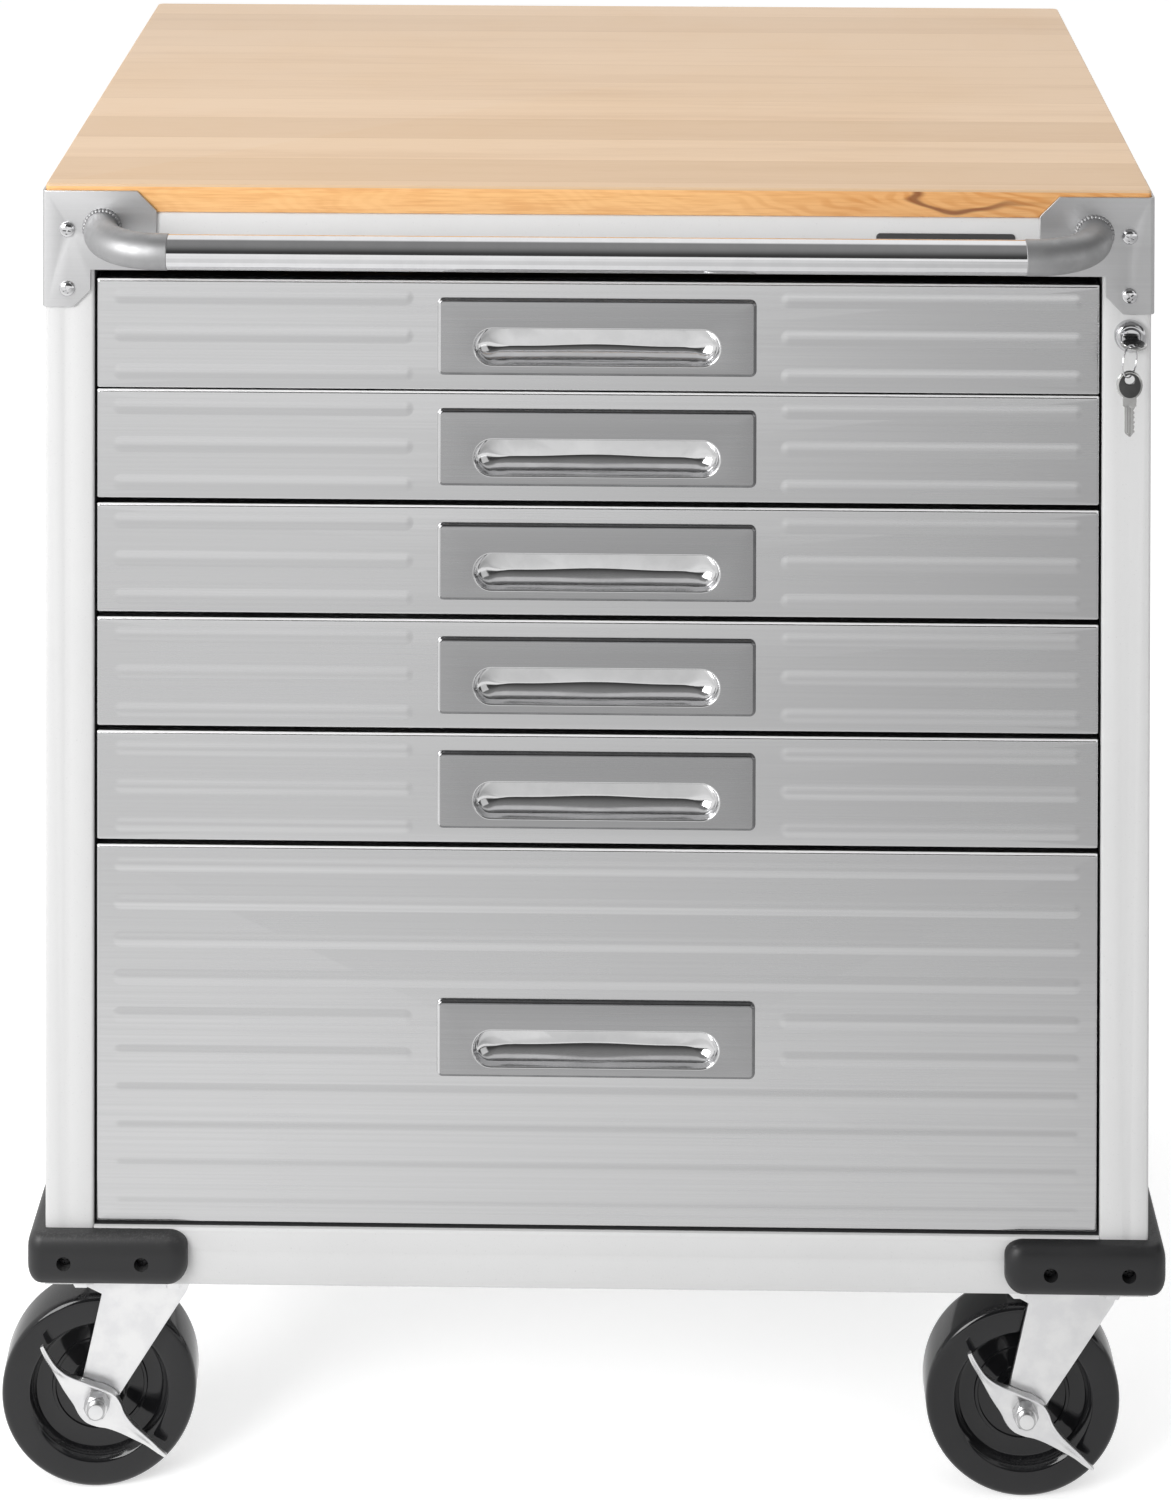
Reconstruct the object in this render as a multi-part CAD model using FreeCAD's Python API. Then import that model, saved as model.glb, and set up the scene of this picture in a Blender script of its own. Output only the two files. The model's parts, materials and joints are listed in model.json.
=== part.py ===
"""Rolling tool chest: a folded steel cabinet with six drawers on ball-bearing slides, a solid wood
worktop, a tubular push handle, a cam lock with its lock bar, corner bumpers and four casters.

All sizes are in millimetres. The model is laid out with x to the right from the cabinet's middle,
y to the rear from the plane of the front posts, and z up from the floor. It is written out with its
origin at the centre of the worktop's upper face.
"""
import FreeCAD
import Part
import math
import os

os.makedirs("parts", exist_ok=True)

# --- Cabinet -----------------------------------------------------------------------------------
body_width = 711.0
body_depth = 457.0
overall_height = 871.0
case_gauge = 1.2
bend_radius = 1.0           # inside radius of every fold
post_width = 31.5           # front face of a folded corner post
post_return = 45.0          # depth of a post's inner return
rail_height = 38.0          # top and bottom front rails
rail_return = 22.0          # depth of a rail's folded edge
rail_lip = 11.0             # turned end of that edge
top_flange = 40.0           # front rail's flange, which carries the worktop
side_flange = 20.0          # sides' flanges, which carry the worktop
pan_upstand = 22.0          # turned-up edges of the base pan
back_flange = 26.0          # forward-turned edges of the back panel

# --- Worktop -----------------------------------------------------------------------------------
worktop_thickness = 18.0
worktop_edge_cut = 3.0      # bevel round the upper face
worktop_corner_cut = 3.0    # clears the fold of the handle brackets

# --- Drawers -----------------------------------------------------------------------------------
small_drawer_count = 5
small_front_height = 70.2
front_gap = 3.5             # between one front and the next
opening_gap_below = 3.3
opening_gap_above = 3.1
front_side_gap = 1.75
top_drawer_drop = 2.3       # the top drawer hangs this much low
front_gauge = 1.0
front_depth = 20.0          # the front is a hollow pan
front_lip = 9.0             # turned-in rear edge of the pan
front_edge_cut = 1.0        # bevel of the fold round the face

bead_width = 11.4
bead_height = 0.5
bead_pitch = 24.5
bead_draft = 3.6            # a bead is this much narrower on top, at every side
bead_edge_margin = 7.5      # least space from a bead's middle to the front's edge
bead_end_margin = 10.0      # from a bead's end to the side of the front
bead_to_pull = 15.0         # from a short bead's end to the pull plate

pull_width = 205.0
pull_height = 49.5
pull_raise = 2.5
pull_corner_cut = 3.0
pull_edge_cut = 1.5
slot_width = 158.0
slot_height = 23.0
slot_drop = 6.0             # the slot's middle lies below the plate's middle
cup_straight = 4.0          # straight part of the finger cup behind the front's face
cup_depth = 15.0            # from the front's face to the bottom of the cup
cup_draft = 7.0             # the cup's bottom is this much smaller, at every side
cup_wall = 1.2
cup_clearance = 0.5

box_gauge = 1.0
box_to_back = 9.0           # from the box to the back panel's flange
box_lift = 3.0              # from the front's lower edge to the box's floor
box_headroom = 5.2          # from the box's rim to the front's upper edge
box_hem = 5.0               # turned-in rim
box_hem_drop = 3.0
floor_bead_count = 3
floor_bead_width = 12.0
floor_bead_height = 1.5
floor_bead_slope = 3.0      # a floor bead is this much narrower on top, at each side
floor_bead_inset = 24.0     # from a floor bead's end to the box's end

# --- Slides ------------------------------------------------------------------------------------
slide_space = 12.7          # width of a slide between cabinet and drawer
slide_height = 45.0
slide_gauge = 1.2
slide_start = 36.0          # from the front plane to the slides
slide_to_back = 5.0         # from the slides to the back panel's flange
slide_bottom = 2.0          # from the front's lower edge to the slide
ball_track = 2.8            # space for the balls between two members
flange_clearance = 2.4      # from a member's flange to the next web
web_clearance = 1.7         # from one web to the next member's flange end
cage_gauge = 0.9
cage_length = 150.0
member_step = 2.0           # each inner member starts this much further back

# --- Push handle -------------------------------------------------------------------------------
handle_drop = 28.0          # tube's axis below the worktop's upper face
handle_stand = 46.0         # tube's axis in front of the posts
handle_tube_radius = 11.1
handle_tube_wall = 1.5
elbow_radius = 11.6
elbow_inset = 37.0          # elbow's root from the body's side

bracket_gauge = 1.8
bracket_drop = 4.0          # upper edge below the worktop's upper face
bracket_height = 75.0
bracket_width = 72.0        # arm's end from the body's side
bracket_arm_height = 51.0
bracket_leg_width = 29.5
bracket_top_cut = 12.5
bracket_leg_cut = 11.0
bracket_side_depth = 48.0
bracket_side_cut = 10.0

# --- Screws ------------------------------------------------------------------------------------
screw_head_radius = 5.0
screw_head_height = 2.4
screw_shank_radius = 2.0
screw_length = 9.0
screw_hole_radius = 2.3
bracket_screw_inset = 14.5  # from the body's side
bracket_screw_drops = (25.0, 63.0)      # below the bracket's upper edge

# --- Corner bumpers ----------------------------------------------------------------------------
bumper_stand = 10.8
bumper_reach = 92.5         # leg's length past the body's corner
bumper_height = 36.0
bumper_bottom_gap = 4.7     # above the cabinet's underside
bumper_edge_cut = 4.0
bumper_corner_round = 9.0
bumper_screw_inset = 14.0   # first screw from the body's corner
bumper_screw_pitch = 50.0
bumper_screw_height = 15.5  # above the bumper's lower edge
bumper_recess_radius = 5.6
bumper_floor = 4.0          # plastic left under a screw head

# --- Lock --------------------------------------------------------------------------------------
lock_drop = 93.0            # lock's axis below the worktop's upper face
lock_from_side = 14.0       # lock's axis from the body's side
bezel_radius = 10.25
bezel_rise = 5.5
bezel_edge = 2.4            # straight part of the bezel's side
bezel_face_radius = 7.6
barrel_radius = 8.5
barrel_length = 27.0
lock_nut_flat = 20.0
lock_nut_thickness = 4.0
plug_radius = 6.0
plug_fit = 0.08
plug_proud = 0.6
cam_gap = 0.8
cam_thickness = 2.0
cam_width = 9.0
cam_pin_offset = 7.0
cam_pin_radius = 2.0
cam_rest_angle = -26.0      # degrees above horizontal, unlocked
rivet_radius = 2.0          # plug's riveted end, which holds the cam
rivet_end = 0.5
lock_lift = 9.0             # travel of the lock bar

bar_gauge = 2.0
bar_gap = 1.0               # between the cam and the bar
bar_width = 16.0
bar_head = 11.2             # lock bar's upper edge above the lock's axis
bar_to_return = 1.8         # between the bar and the post's inner return
finger_reach = 9.5          # past the post's inner face
finger_height = 5.6
finger_clearance = 1.2      # above the moving slide member
catch_reach = 8.2
catch_height = 7.0
catch_clearance = 2.6       # between the lowered finger and the catch
catch_depth = 2.0
catch_setback = 3.5         # behind the lock bar
guide_clearance = 0.5

key_thickness = 2.2
key_blade_width = 7.0
key_blade_length = 22.0
key_point = 2.8             # the blade's tip runs to a blunt point
keyway_depth = 21.0
keyway_clearance = 0.2
key_neck = 1.2
bow_width = 16.5
bow_length = 18.5
bow_hole_radius = 3.2
bow_hole_edge = 2.4
spare_blade_width = 6.3
ring_radius = 10.0
ring_wire = 1.3
ring_sink = 7.0             # ring's middle below the key that carries it
ring_turn = 35.0            # degrees from straight ahead
spare_hang = 1.5            # middle of the spare key's hole below the ring's wire

# --- Casters -----------------------------------------------------------------------------------
wheel_radius = 63.5
wheel_width = 32.0
rim_inner_radius = 46.0
web_radius = 42.0
dish_depth = 9.0            # of the wheel's faces, from the rim down to the bore
bush_radius = 9.0
axle_radius = 6.0
running_fit = 0.1           # wheel on bush, by radius
axle_fit = 0.1              # axle in the holes of fork and pedal, by radius
leg_gap = 2.0               # between the wheel's rim and a fork leg
fork_gauge = 3.2
fork_bend = 4.0
fork_eye_radius = 13.0
fork_eye_corner = 12.4      # rounding of the eye's lower corners
caster_height = 158.3       # floor to the cabinet's underside
caster_inset = 51.5         # swivel axis from the body's side
caster_setback = 52.0       # swivel axis from the front and back planes
caster_trail = 24.0
plate_length = 92.0
plate_width = 78.0
plate_gauge = 3.5
plate_corner_cut = 5.0
plate_bolt_pitch_x = 60.0
plate_bolt_pitch_y = 72.0
race_radius = 29.0
race_height = 3.4
race_gap = 0.6
upper_race_radius = 31.0
crown_half_length = 37.0
leg_front = 34.0            # leg's upper edge ahead of the swivel axis
leg_rear = 21.5             # leg's upper edge behind the swivel axis
leg_shoulder = 8.0          # drop from the crown's lower edge to where a leg starts to narrow
pivot_radius = 6.0
pivot_fit = 0.1
pivot_head_radius = 10.0
pivot_head = 4.0
rigid_crown_half = 33.0
rigid_leg_half = 26.0
plate_bolt_radius = 4.0
plate_bolt_fit = 0.3
plate_bolt_head_flat = 13.0
plate_bolt_head = 5.3
plate_bolt_end = 4.0        # above the pan
axle_nut_flat = 18.0
axle_nut = 7.2
axle_head = 7.5
axle_end = 3.0
washer_radius = 11.0
washer_thickness = 0.8

left_fork_angle = 4.0       # degrees that each front caster is swung from straight sideways
right_fork_angle = 0.0

pedal_gauge = 2.0
pedal_gap = 0.2
pedal_half_length = 55.0
pedal_tip_width = 3.6
pedal_tip_rise = 8.0
pedal_hub_radius = 13.0
pedal_hub_rise = 3.5
pedal_root_half = 17.0
pedal_root_width = 18.5
pedal_flange = 6.0
pedal_crest = 11.5          # flange's highest point above the hub's middle
pedal_angle = -43.0         # degrees, the pedal slopes down towards the swivel axis

# --- Flat sides of small round shapes ------------------------------------------------------------
# Shanks, pins, folds and holes repeat many times, so they are drawn with few flat sides.
shank_sides = 5
head_sides = 8
pin_sides = 8
elbow_sides = 10
turned_sides = 16
wheel_sides = 32
long_hole_chords = 4        # flat sides of a long hole's round end
elbow_steps = 4
fold_chords = 2             # flat sides of a fold
corner_chords = 2

# --- Worked out from the sizes above -------------------------------------------------------------
half_width = body_width / 2
case_top = overall_height - worktop_thickness
slide_length = body_depth - back_flange - slide_to_back - slide_start
box_depth = body_depth - back_flange - box_to_back - front_depth
handle_height = overall_height - handle_drop
elbow_root_x = half_width - elbow_inset
bracket_top = overall_height - bracket_drop
bracket_foot = bracket_top - bracket_height
bracket_arm_bottom = bracket_top - bracket_arm_height
bracket_inner_x = half_width - bracket_width
bracket_leg_x = half_width - bracket_leg_width
bracket_screw_x = half_width - bracket_screw_inset
lock_height = overall_height - lock_drop
opening_half = half_width - post_width
opening_bottom = caster_height + rail_height
opening_top = case_top - rail_height
pan_top = caster_height + case_gauge
front_half = opening_half - front_side_gap
box_half = opening_half - slide_space
drawer_pitch = small_front_height + front_gap
large_front_height = (opening_top - opening_bottom - opening_gap_below - opening_gap_above
                      - small_drawer_count * drawer_pitch)
runner_height = slide_height - 2 * (2 * slide_gauge + 2 * ball_track)
carriage_height = slide_height - 2 * (slide_gauge + ball_track)
slide_middle = slide_bottom + slide_height / 2
lock_x = half_width - lock_from_side
cam_y = barrel_length + cam_gap
bar_y = cam_y + cam_thickness + bar_gap
finger_bottom = slide_middle + carriage_height / 2 + finger_clearance
catch_bottom = finger_bottom + finger_height + catch_clearance
caster_x = half_width - caster_inset
rear_caster_y = body_depth - caster_setback
crown_top = caster_height - plate_gauge - race_gap - race_height - race_height
handle_bend = handle_stand - bracket_gauge
leg_inner = wheel_width / 2 + leg_gap
leg_outer = leg_inner + fork_gauge
origin = FreeCAD.Vector(0, body_depth / 2, overall_height)


def vec(x, y, z):
    return FreeCAD.Vector(x, y, z)


def plan(x, y):
    return vec(x, y, 0)


def front_view(x, z):
    return vec(x, 0, z)


def side_view(y, z):
    return vec(0, y, z)


def box(x_range, y_range, z_range):
    """A block between two values on each axis."""
    size = [high - low for low, high in (x_range, y_range, z_range)]
    return Part.makeBox(*size, vec(x_range[0], y_range[0], z_range[0]))


def faceted(rings):
    """A solid with flat sides through rings of points, with a flat face at each end."""
    loops = [rings[0], rings[-1]]
    for near, far in zip(rings, rings[1:]):
        loops += [[near[i - 1], near[i], far[i], far[i - 1]] for i in range(len(near))]
    faces = [Part.Face(Part.makePolygon(loop + loop[:1])) for loop in loops]
    solid = Part.Solid(Part.Shell(faces))
    if solid.Volume < 0:
        solid.reverse()
    return solid


def regular(sides, radius, height=0):
    """Corners of a level regular polygon about the z axis."""
    step = 2 * math.pi / sides
    angles = [i * step for i in range(sides)]
    return [vec(radius * math.cos(angle), radius * math.sin(angle), height) for angle in angles]


def flat_turned(sides, profile, base, axis):
    """A turned bar with flat sides: profile gives (radius, distance from base) along the axis."""
    bar = faceted([regular(sides, radius, distance) for radius, distance in profile])
    bar.Placement = FreeCAD.Placement(base, FreeCAD.Rotation(vec(0, 0, 1), axis))
    return bar


def flat_sided(sides, radius, start, end):
    """A bar with flat sides between two points, whose corners lie on the radius."""
    return flat_turned(sides, [(radius, 0), (radius, (end - start).Length)], start, end - start)


def flat_sided_hole(sides, radius, start, end):
    """A cutter whose flat sides lie on the radius, so that a round bar fits through its hole."""
    return flat_sided(sides, radius / math.cos(math.pi / sides), start, end)


def round_bar(radius, start, end):
    """A truly round bar between two points, for the faces that turn on an axis."""
    return Part.makeCylinder(radius, (end - start).Length, start, end - start)


def hexagon(across_flats, start, end):
    return flat_sided_hole(6, across_flats / 2, start, end)


def outline(points, radii, chords):
    """A closed face through points, each corner rounded by its radius with an arc or with chords."""
    count = len(points)
    edges = []
    starts = []
    ends = []
    middles = []
    for i, corner in enumerate(points):
        back = (points[i - 1] - corner).normalize()
        ahead = (points[(i + 1) % count] - corner).normalize()
        half = back.getAngle(ahead) / 2
        reach = radii[i] / math.tan(half)
        starts.append(corner + back * reach)
        ends.append(corner + ahead * reach)
        middles.append(corner + (back + ahead).normalize() * (radii[i] / math.sin(half) - radii[i]))
    for i in range(count):
        if radii[i] > 0:
            arc = Part.Arc(starts[i], middles[i], ends[i]).toShape()
            stops = arc.discretize(chords + 1) if chords else []
            edges += [Part.makeLine(a, b) for a, b in zip(stops, stops[1:])] or [arc]
        following = starts[(i + 1) % count]
        if (following - ends[i]).Length > 1e-6:
            edges.append(Part.makeLine(ends[i], following))
    return Part.Face(Part.Wire(edges))


def prism(view, points, run, radii=None, chords=0):
    """An outline drawn in one view and extruded along run; radii gives a corner's rounding."""
    corners = [view(a, b) for a, b in points]
    radii = radii or {}
    return outline(corners, [radii.get(i, 0) for i in range(len(corners))], chords).extrude(run)


def folded(view, path, gauge, run, inside=bend_radius):
    """Folded sheet: path is one face of the sheet, and the sheet lies to the left of the path."""
    points = [FreeCAD.Vector(a, b, 0) for a, b in path]
    directions = [(b - a).normalize() for a, b in zip(points, points[1:])]
    normals = [FreeCAD.Vector(-d.y, d.x, 0) for d in directions]
    inner = [points[0] + normals[0] * gauge]
    radii = [0]
    for i in range(1, len(points) - 1):
        mitre = normals[i - 1] + normals[i]
        inner.append(points[i] + mitre * (2 * gauge / mitre.dot(mitre)))
        turn = directions[i - 1].x * directions[i].y - directions[i - 1].y * directions[i].x
        radii.append(inside + gauge if turn > 0 else inside)
    inner.append(points[-1] + normals[-1] * gauge)
    radii.append(0)
    other = [0 if r == 0 else 2 * inside + gauge - r for r in radii]
    loop = [view(p.x, p.y) for p in points + inner[::-1]]
    return outline(loop, radii + other[::-1], fold_chords).extrude(run)


def long_hole(width, height, middle):
    """Corners of a long hole in the front view, its round ends drawn with flat sides."""
    radius = height / 2
    reach = width / 2 - radius
    points = []
    for side, start in ((1, -math.pi / 2), (-1, math.pi / 2)):
        for i in range(long_hole_chords + 1):
            angle = start + i * math.pi / long_hole_chords
            across = side * reach + radius * math.cos(angle)
            points.append(middle + vec(across, 0, radius * math.sin(angle)))
    return points


def mirrored(shape):
    return shape.mirror(vec(0, 0, 0), vec(1, 0, 0))


def both_sides(shape):
    return [shape, mirrored(shape)]


def front_to_rear(shape):
    """The same shape at the rear, as turned round the body's middle depth."""
    return shape.mirror(vec(0, body_depth / 2, 0), vec(0, 1, 0))


def turned(shape, centre, axis, angle):
    copy = shape.copy()
    copy.rotate(centre, axis, angle)
    return copy


def write(name, solids):
    """Writes one named piece, or a group of like pieces, as a STEP file in the part's own frame."""
    moved = [solid.translated(-origin) for solid in solids]
    Part.makeCompound(moved).exportStep(f"parts/{name}.step")


# --- Screws and their seats ------------------------------------------------------------------------
def screw(seat, outward):
    """A flat-headed screw whose head sits on seat and looks along outward."""
    head = flat_sided(head_sides, screw_head_radius, seat, seat + outward * screw_head_height)
    shank = flat_sided(shank_sides, screw_shank_radius, seat - outward * screw_length, seat)
    return head.fuse(shank)


def screw_holes(seats):
    """Cutters that run well past a screw's both ends."""
    past = screw_length * 2
    return [flat_sided_hole(shank_sides, screw_hole_radius, seat - out * past, seat + out * past)
            for seat, out in seats]


front_out = vec(0, -1, 0)
side_out = vec(1, 0, 0)
bumper_screw_z = caster_height + bumper_bottom_gap + bumper_screw_height
bumper_seat = bumper_floor
bracket_seats = [(vec(bracket_screw_x, -bracket_gauge, bracket_top - drop), front_out)
                 for drop in bracket_screw_drops]
bumper_seats = []
for place in (bumper_screw_inset, bumper_screw_inset + bumper_screw_pitch):
    bumper_seats.append((vec(half_width - place, -bumper_seat, bumper_screw_z), front_out))
    bumper_seats.append((vec(half_width + bumper_seat, place, bumper_screw_z), side_out))


def right_side_holes():
    """Clearance holes for every screw that enters the right side of the cabinet."""
    front = screw_holes(bracket_seats + bumper_seats)
    return front + [front_to_rear(hole) for hole in screw_holes(bumper_seats)]


# --- Cabinet ---------------------------------------------------------------------------------------
def side_panel():
    """The right side: outer skin, both corner posts and their inner returns, folded from one sheet."""
    path = [(opening_half, post_return), (opening_half, 0), (half_width, 0), (half_width, body_depth),
            (opening_half, body_depth), (opening_half, body_depth - post_return)]
    skin = folded(plan, path, case_gauge, vec(0, 0, case_top - pan_top)).translated(vec(0, 0, pan_top))
    flange = box((half_width - case_gauge - side_flange, half_width - case_gauge),
                 (post_return, body_depth - post_return), (case_top - case_gauge, case_top))
    return skin.fuse(flange)


def drawer_bottoms():
    """Lower edge and height of each drawer front, from the top drawer down."""
    large = (opening_bottom + opening_gap_below, large_front_height)
    first = large[0] + large_front_height + front_gap
    small = [(first + i * drawer_pitch, small_front_height) for i in range(small_drawer_count)]
    small[-1] = (small[-1][0] - top_drawer_drop, small_front_height)
    return small[::-1] + [large]


def lock_guides():
    """Slots in the right post's return that guide the lock bar's fingers."""
    cuts = []
    for bottom, _ in drawer_bottoms():
        low = bottom + finger_bottom - guide_clearance
        high = bottom + finger_bottom + finger_height + lock_lift + guide_clearance
        cuts.append(box((opening_half - guide_clearance, opening_half + case_gauge + guide_clearance),
                        (bar_y - guide_clearance, bar_y + bar_gauge + guide_clearance), (low, high)))
    return cuts


def base_pan():
    """Floor of the cabinet with the bottom front rail folded up from it."""
    path = [(rail_return, opening_bottom - rail_lip), (rail_return, opening_bottom), (0, opening_bottom),
            (0, caster_height), (body_depth - case_gauge, caster_height),
            (body_depth - case_gauge, caster_height + pan_upstand)]
    middle = folded(side_view, path, case_gauge, vec(2 * opening_half, 0, 0))
    middle = middle.translated(vec(-opening_half, 0, 0))
    wing = box((opening_half, half_width), (0, body_depth), (caster_height, pan_top))
    skirt = box((half_width - 2 * case_gauge, half_width - case_gauge),
                (post_return, body_depth - post_return), (caster_height, caster_height + pan_upstand))
    return middle.multiFuse(both_sides(wing.fuse(skirt))).removeSplitter()


def top_rail():
    """Front rail over the drawers, with the flange that carries the worktop."""
    path = [(top_flange, case_top), (0, case_top), (0, opening_top), (rail_return, opening_top),
            (rail_return, opening_top + rail_lip)]
    rail = folded(side_view, path, case_gauge, vec(2 * opening_half, 0, 0))
    return rail.translated(vec(-opening_half, 0, 0))


def back_panel():
    """Rear sheet with forward-turned side and top edges, let in between the rear posts."""
    skin_front = body_depth - case_gauge
    low = pan_top
    path = [(opening_half, body_depth - back_flange), (opening_half, body_depth),
            (-opening_half, body_depth), (-opening_half, body_depth - back_flange)]
    pan = folded(plan, path, case_gauge, vec(0, 0, case_top - low)).translated(vec(0, 0, low))
    lid = box((-opening_half + case_gauge, opening_half - case_gauge),
              (body_depth - back_flange, skin_front), (case_top - case_gauge, case_top))
    notch = box((-opening_half, opening_half), (body_depth - back_flange - case_gauge, skin_front),
                (low, caster_height + pan_upstand))
    return pan.fuse(lid).cut(notch)


def worktop():
    """Solid wood slab with eased upright corners and a bevel round its upper face."""
    slab = box((-half_width, half_width), (0, body_depth), (case_top, overall_height))
    upright = [e for e in slab.Edges if e.BoundBox.ZLength > worktop_edge_cut]
    slab = slab.makeChamfer(worktop_corner_cut, upright)
    upper = [e for e in slab.Edges if e.BoundBox.ZMin > case_top + worktop_edge_cut]
    return slab.makeChamfer(worktop_edge_cut, upper)


# --- Push handle -----------------------------------------------------------------------------------
def handle_bracket():
    """Right corner bracket: an angle folded round the post, trimmed to its front and side outlines."""
    path = [(bracket_inner_x, -bracket_gauge), (half_width + bracket_gauge, -bracket_gauge),
            (half_width + bracket_gauge, bracket_side_depth)]
    height = bracket_top - bracket_foot
    angle = folded(plan, path, bracket_gauge, vec(0, 0, height)).translated(vec(0, 0, bracket_foot))
    outer = half_width + 2 * bracket_gauge
    face = [(outer, bracket_foot), (outer, bracket_top),
            (bracket_inner_x + bracket_top_cut, bracket_top),
            (bracket_inner_x, bracket_top - bracket_top_cut), (bracket_inner_x, bracket_arm_bottom),
            (bracket_leg_x, bracket_arm_bottom), (bracket_leg_x, bracket_foot + bracket_leg_cut),
            (bracket_leg_x + bracket_leg_cut, bracket_foot)]
    depth = bracket_side_depth + 2 * bracket_gauge
    trim = prism(front_view, face, vec(0, depth, 0)).translated(vec(0, -2 * bracket_gauge, 0))
    flank = [(-2 * bracket_gauge, bracket_foot), (bracket_side_depth - bracket_side_cut, bracket_foot),
             (bracket_side_depth, bracket_foot + bracket_side_cut),
             (bracket_side_depth, bracket_top - bracket_side_cut),
             (bracket_side_depth - bracket_side_cut, bracket_top), (-2 * bracket_gauge, bracket_top)]
    side_trim = prism(side_view, flank, vec(outer, 0, 0))
    bracket = angle.common(trim).common(side_trim)
    return bracket.cut(screw_holes(bracket_seats))


def handle_elbow():
    """Right end of the push handle: a quarter bend from the bracket's face to the tube."""
    centre = vec(elbow_root_x - handle_bend, -bracket_gauge, handle_height)
    rings = []
    upright = FreeCAD.Rotation(vec(0, 1, 0), 90)
    section = [upright.multVec(corner) - vec(0, handle_bend, 0)
               for corner in regular(elbow_sides, elbow_radius)]
    for step in range(elbow_steps + 1):
        turn = FreeCAD.Rotation(vec(0, 0, 1), 90 * step / elbow_steps)
        rings.append([centre + turn.multVec(corner) for corner in section])
    return faceted(rings)


def handle_tube():
    reach = elbow_root_x - handle_bend
    ends = [vec(x, -handle_stand, handle_height) for x in (-reach, reach)]
    bore = flat_sided(turned_sides, handle_tube_radius - handle_tube_wall, *ends)
    return flat_sided(turned_sides, handle_tube_radius, *ends).cut(bore)


# --- Corner bumper ---------------------------------------------------------------------------------
def corner_bumper():
    """Moulded L that wraps the right front foot of the cabinet, with counterbored screw holes."""
    low = caster_height + bumper_bottom_gap
    outer = half_width + bumper_stand
    points = [(half_width - bumper_reach, -bumper_stand), (outer, -bumper_stand), (outer, bumper_reach),
              (half_width, bumper_reach), (half_width, 0), (half_width - bumper_reach, 0)]
    solid = prism(plan, points, vec(0, 0, bumper_height), {1: bumper_corner_round}, corner_chords)
    solid = solid.translated(vec(0, 0, low))

    def bevelled(edge):
        bounds = edge.BoundBox
        level = bounds.ZLength < bumper_edge_cut
        on_body = bounds.YMin > -bumper_edge_cut and bounds.XMax < half_width + bumper_edge_cut
        return level and not on_body

    solid = solid.makeChamfer(bumper_edge_cut, [e for e in solid.Edges if bevelled(e)])
    recesses = [flat_sided(head_sides, bumper_recess_radius, seat, seat + out * bumper_stand)
                for seat, out in bumper_seats]
    return solid.cut(recesses + screw_holes(bumper_seats))


# --- Lock ------------------------------------------------------------------------------------------
lock_centre = vec(lock_x, 0, lock_height)


def lock_housing():
    """Domed bezel and barrel in one piece, with the nut that clamps the post's face."""
    bore = plug_radius + plug_fit
    rear = lock_centre + vec(0, barrel_length, 0)
    profile = [(barrel_radius, 0), (barrel_radius, barrel_length), (bezel_radius, barrel_length),
               (bezel_radius, barrel_length + bezel_edge),
               (bezel_face_radius, barrel_length + bezel_rise)]
    body = flat_turned(turned_sides, profile, rear, front_out)
    body = body.cut(flat_sided_hole(pin_sides, bore, rear, lock_centre - vec(0, 2 * bezel_rise, 0)))
    behind = lock_centre + vec(0, case_gauge, 0)
    ends = (behind, behind + vec(0, lock_nut_thickness, 0))
    nut = hexagon(lock_nut_flat, *ends).cut(flat_sided_hole(pin_sides, barrel_radius + plug_fit, *ends))
    return [body, nut]


def lock_plug():
    """Plug with its keyway, and the cam whose pin lifts the lock bar."""
    face = lock_centre - vec(0, bezel_rise + plug_proud, 0)
    plug = flat_sided(turned_sides, plug_radius, face, lock_centre + vec(0, cam_y, 0))
    cam_rear = lock_centre + vec(0, cam_y + cam_thickness, 0)
    rivet = round_bar(rivet_radius, cam_rear, cam_rear + vec(0, rivet_end, 0))
    keyway_half = key_blade_width / 2 + keyway_clearance
    slot_half = key_thickness / 2 + keyway_clearance
    keyway = box((lock_x - keyway_half, lock_x + keyway_half), (face.y, face.y + keyway_depth),
                 (lock_height - slot_half, lock_height + slot_half))
    reach = cam_pin_offset + cam_width / 2
    arm = faceted([long_hole(reach + cam_width / 2, cam_width, vec((reach - cam_width / 2) / 2, y, 0))
                   for y in (cam_y, cam_y + cam_thickness)])
    pin = flat_sided(pin_sides, cam_pin_radius, vec(cam_pin_offset, cam_y, 0),
                     vec(cam_pin_offset, bar_y + bar_gauge + bar_gap, 0))
    cam = turned(arm.fuse(pin), vec(0, 0, 0), vec(0, -1, 0), cam_rest_angle)
    return [plug.cut(keyway).multiFuse([cam.translated(lock_centre), rivet])]


def key_plate(bow_span, bow_reach, blade_width, blade_length, neck):
    """A key lying in the front view with its blade's end down and its bow's lower end at z = 0."""
    half_thick = key_thickness / 2
    rings = []
    for y in (-half_thick, half_thick):
        rings.append([vec(bow_span * corner.x, y, bow_reach * corner.y + bow_reach / 2 + neck)
                      for corner in regular(turned_sides, 0.5)])
    bow = faceted(rings)
    half = blade_width / 2
    shoulder = key_point - blade_length
    points = [(-half, shoulder), (0, -blade_length), (half, shoulder), (half, neck + half),
              (-half, neck + half)]
    blade = prism(front_view, points, vec(0, key_thickness, 0)).translated(vec(0, -half_thick, 0))
    hole_z = neck + bow_reach - bow_hole_edge - bow_hole_radius
    ends = (vec(0, -key_thickness, hole_z), vec(0, key_thickness, hole_z))
    return bow.fuse(blade).cut(flat_sided_hole(pin_sides, bow_hole_radius, *ends)), hole_z


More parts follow.
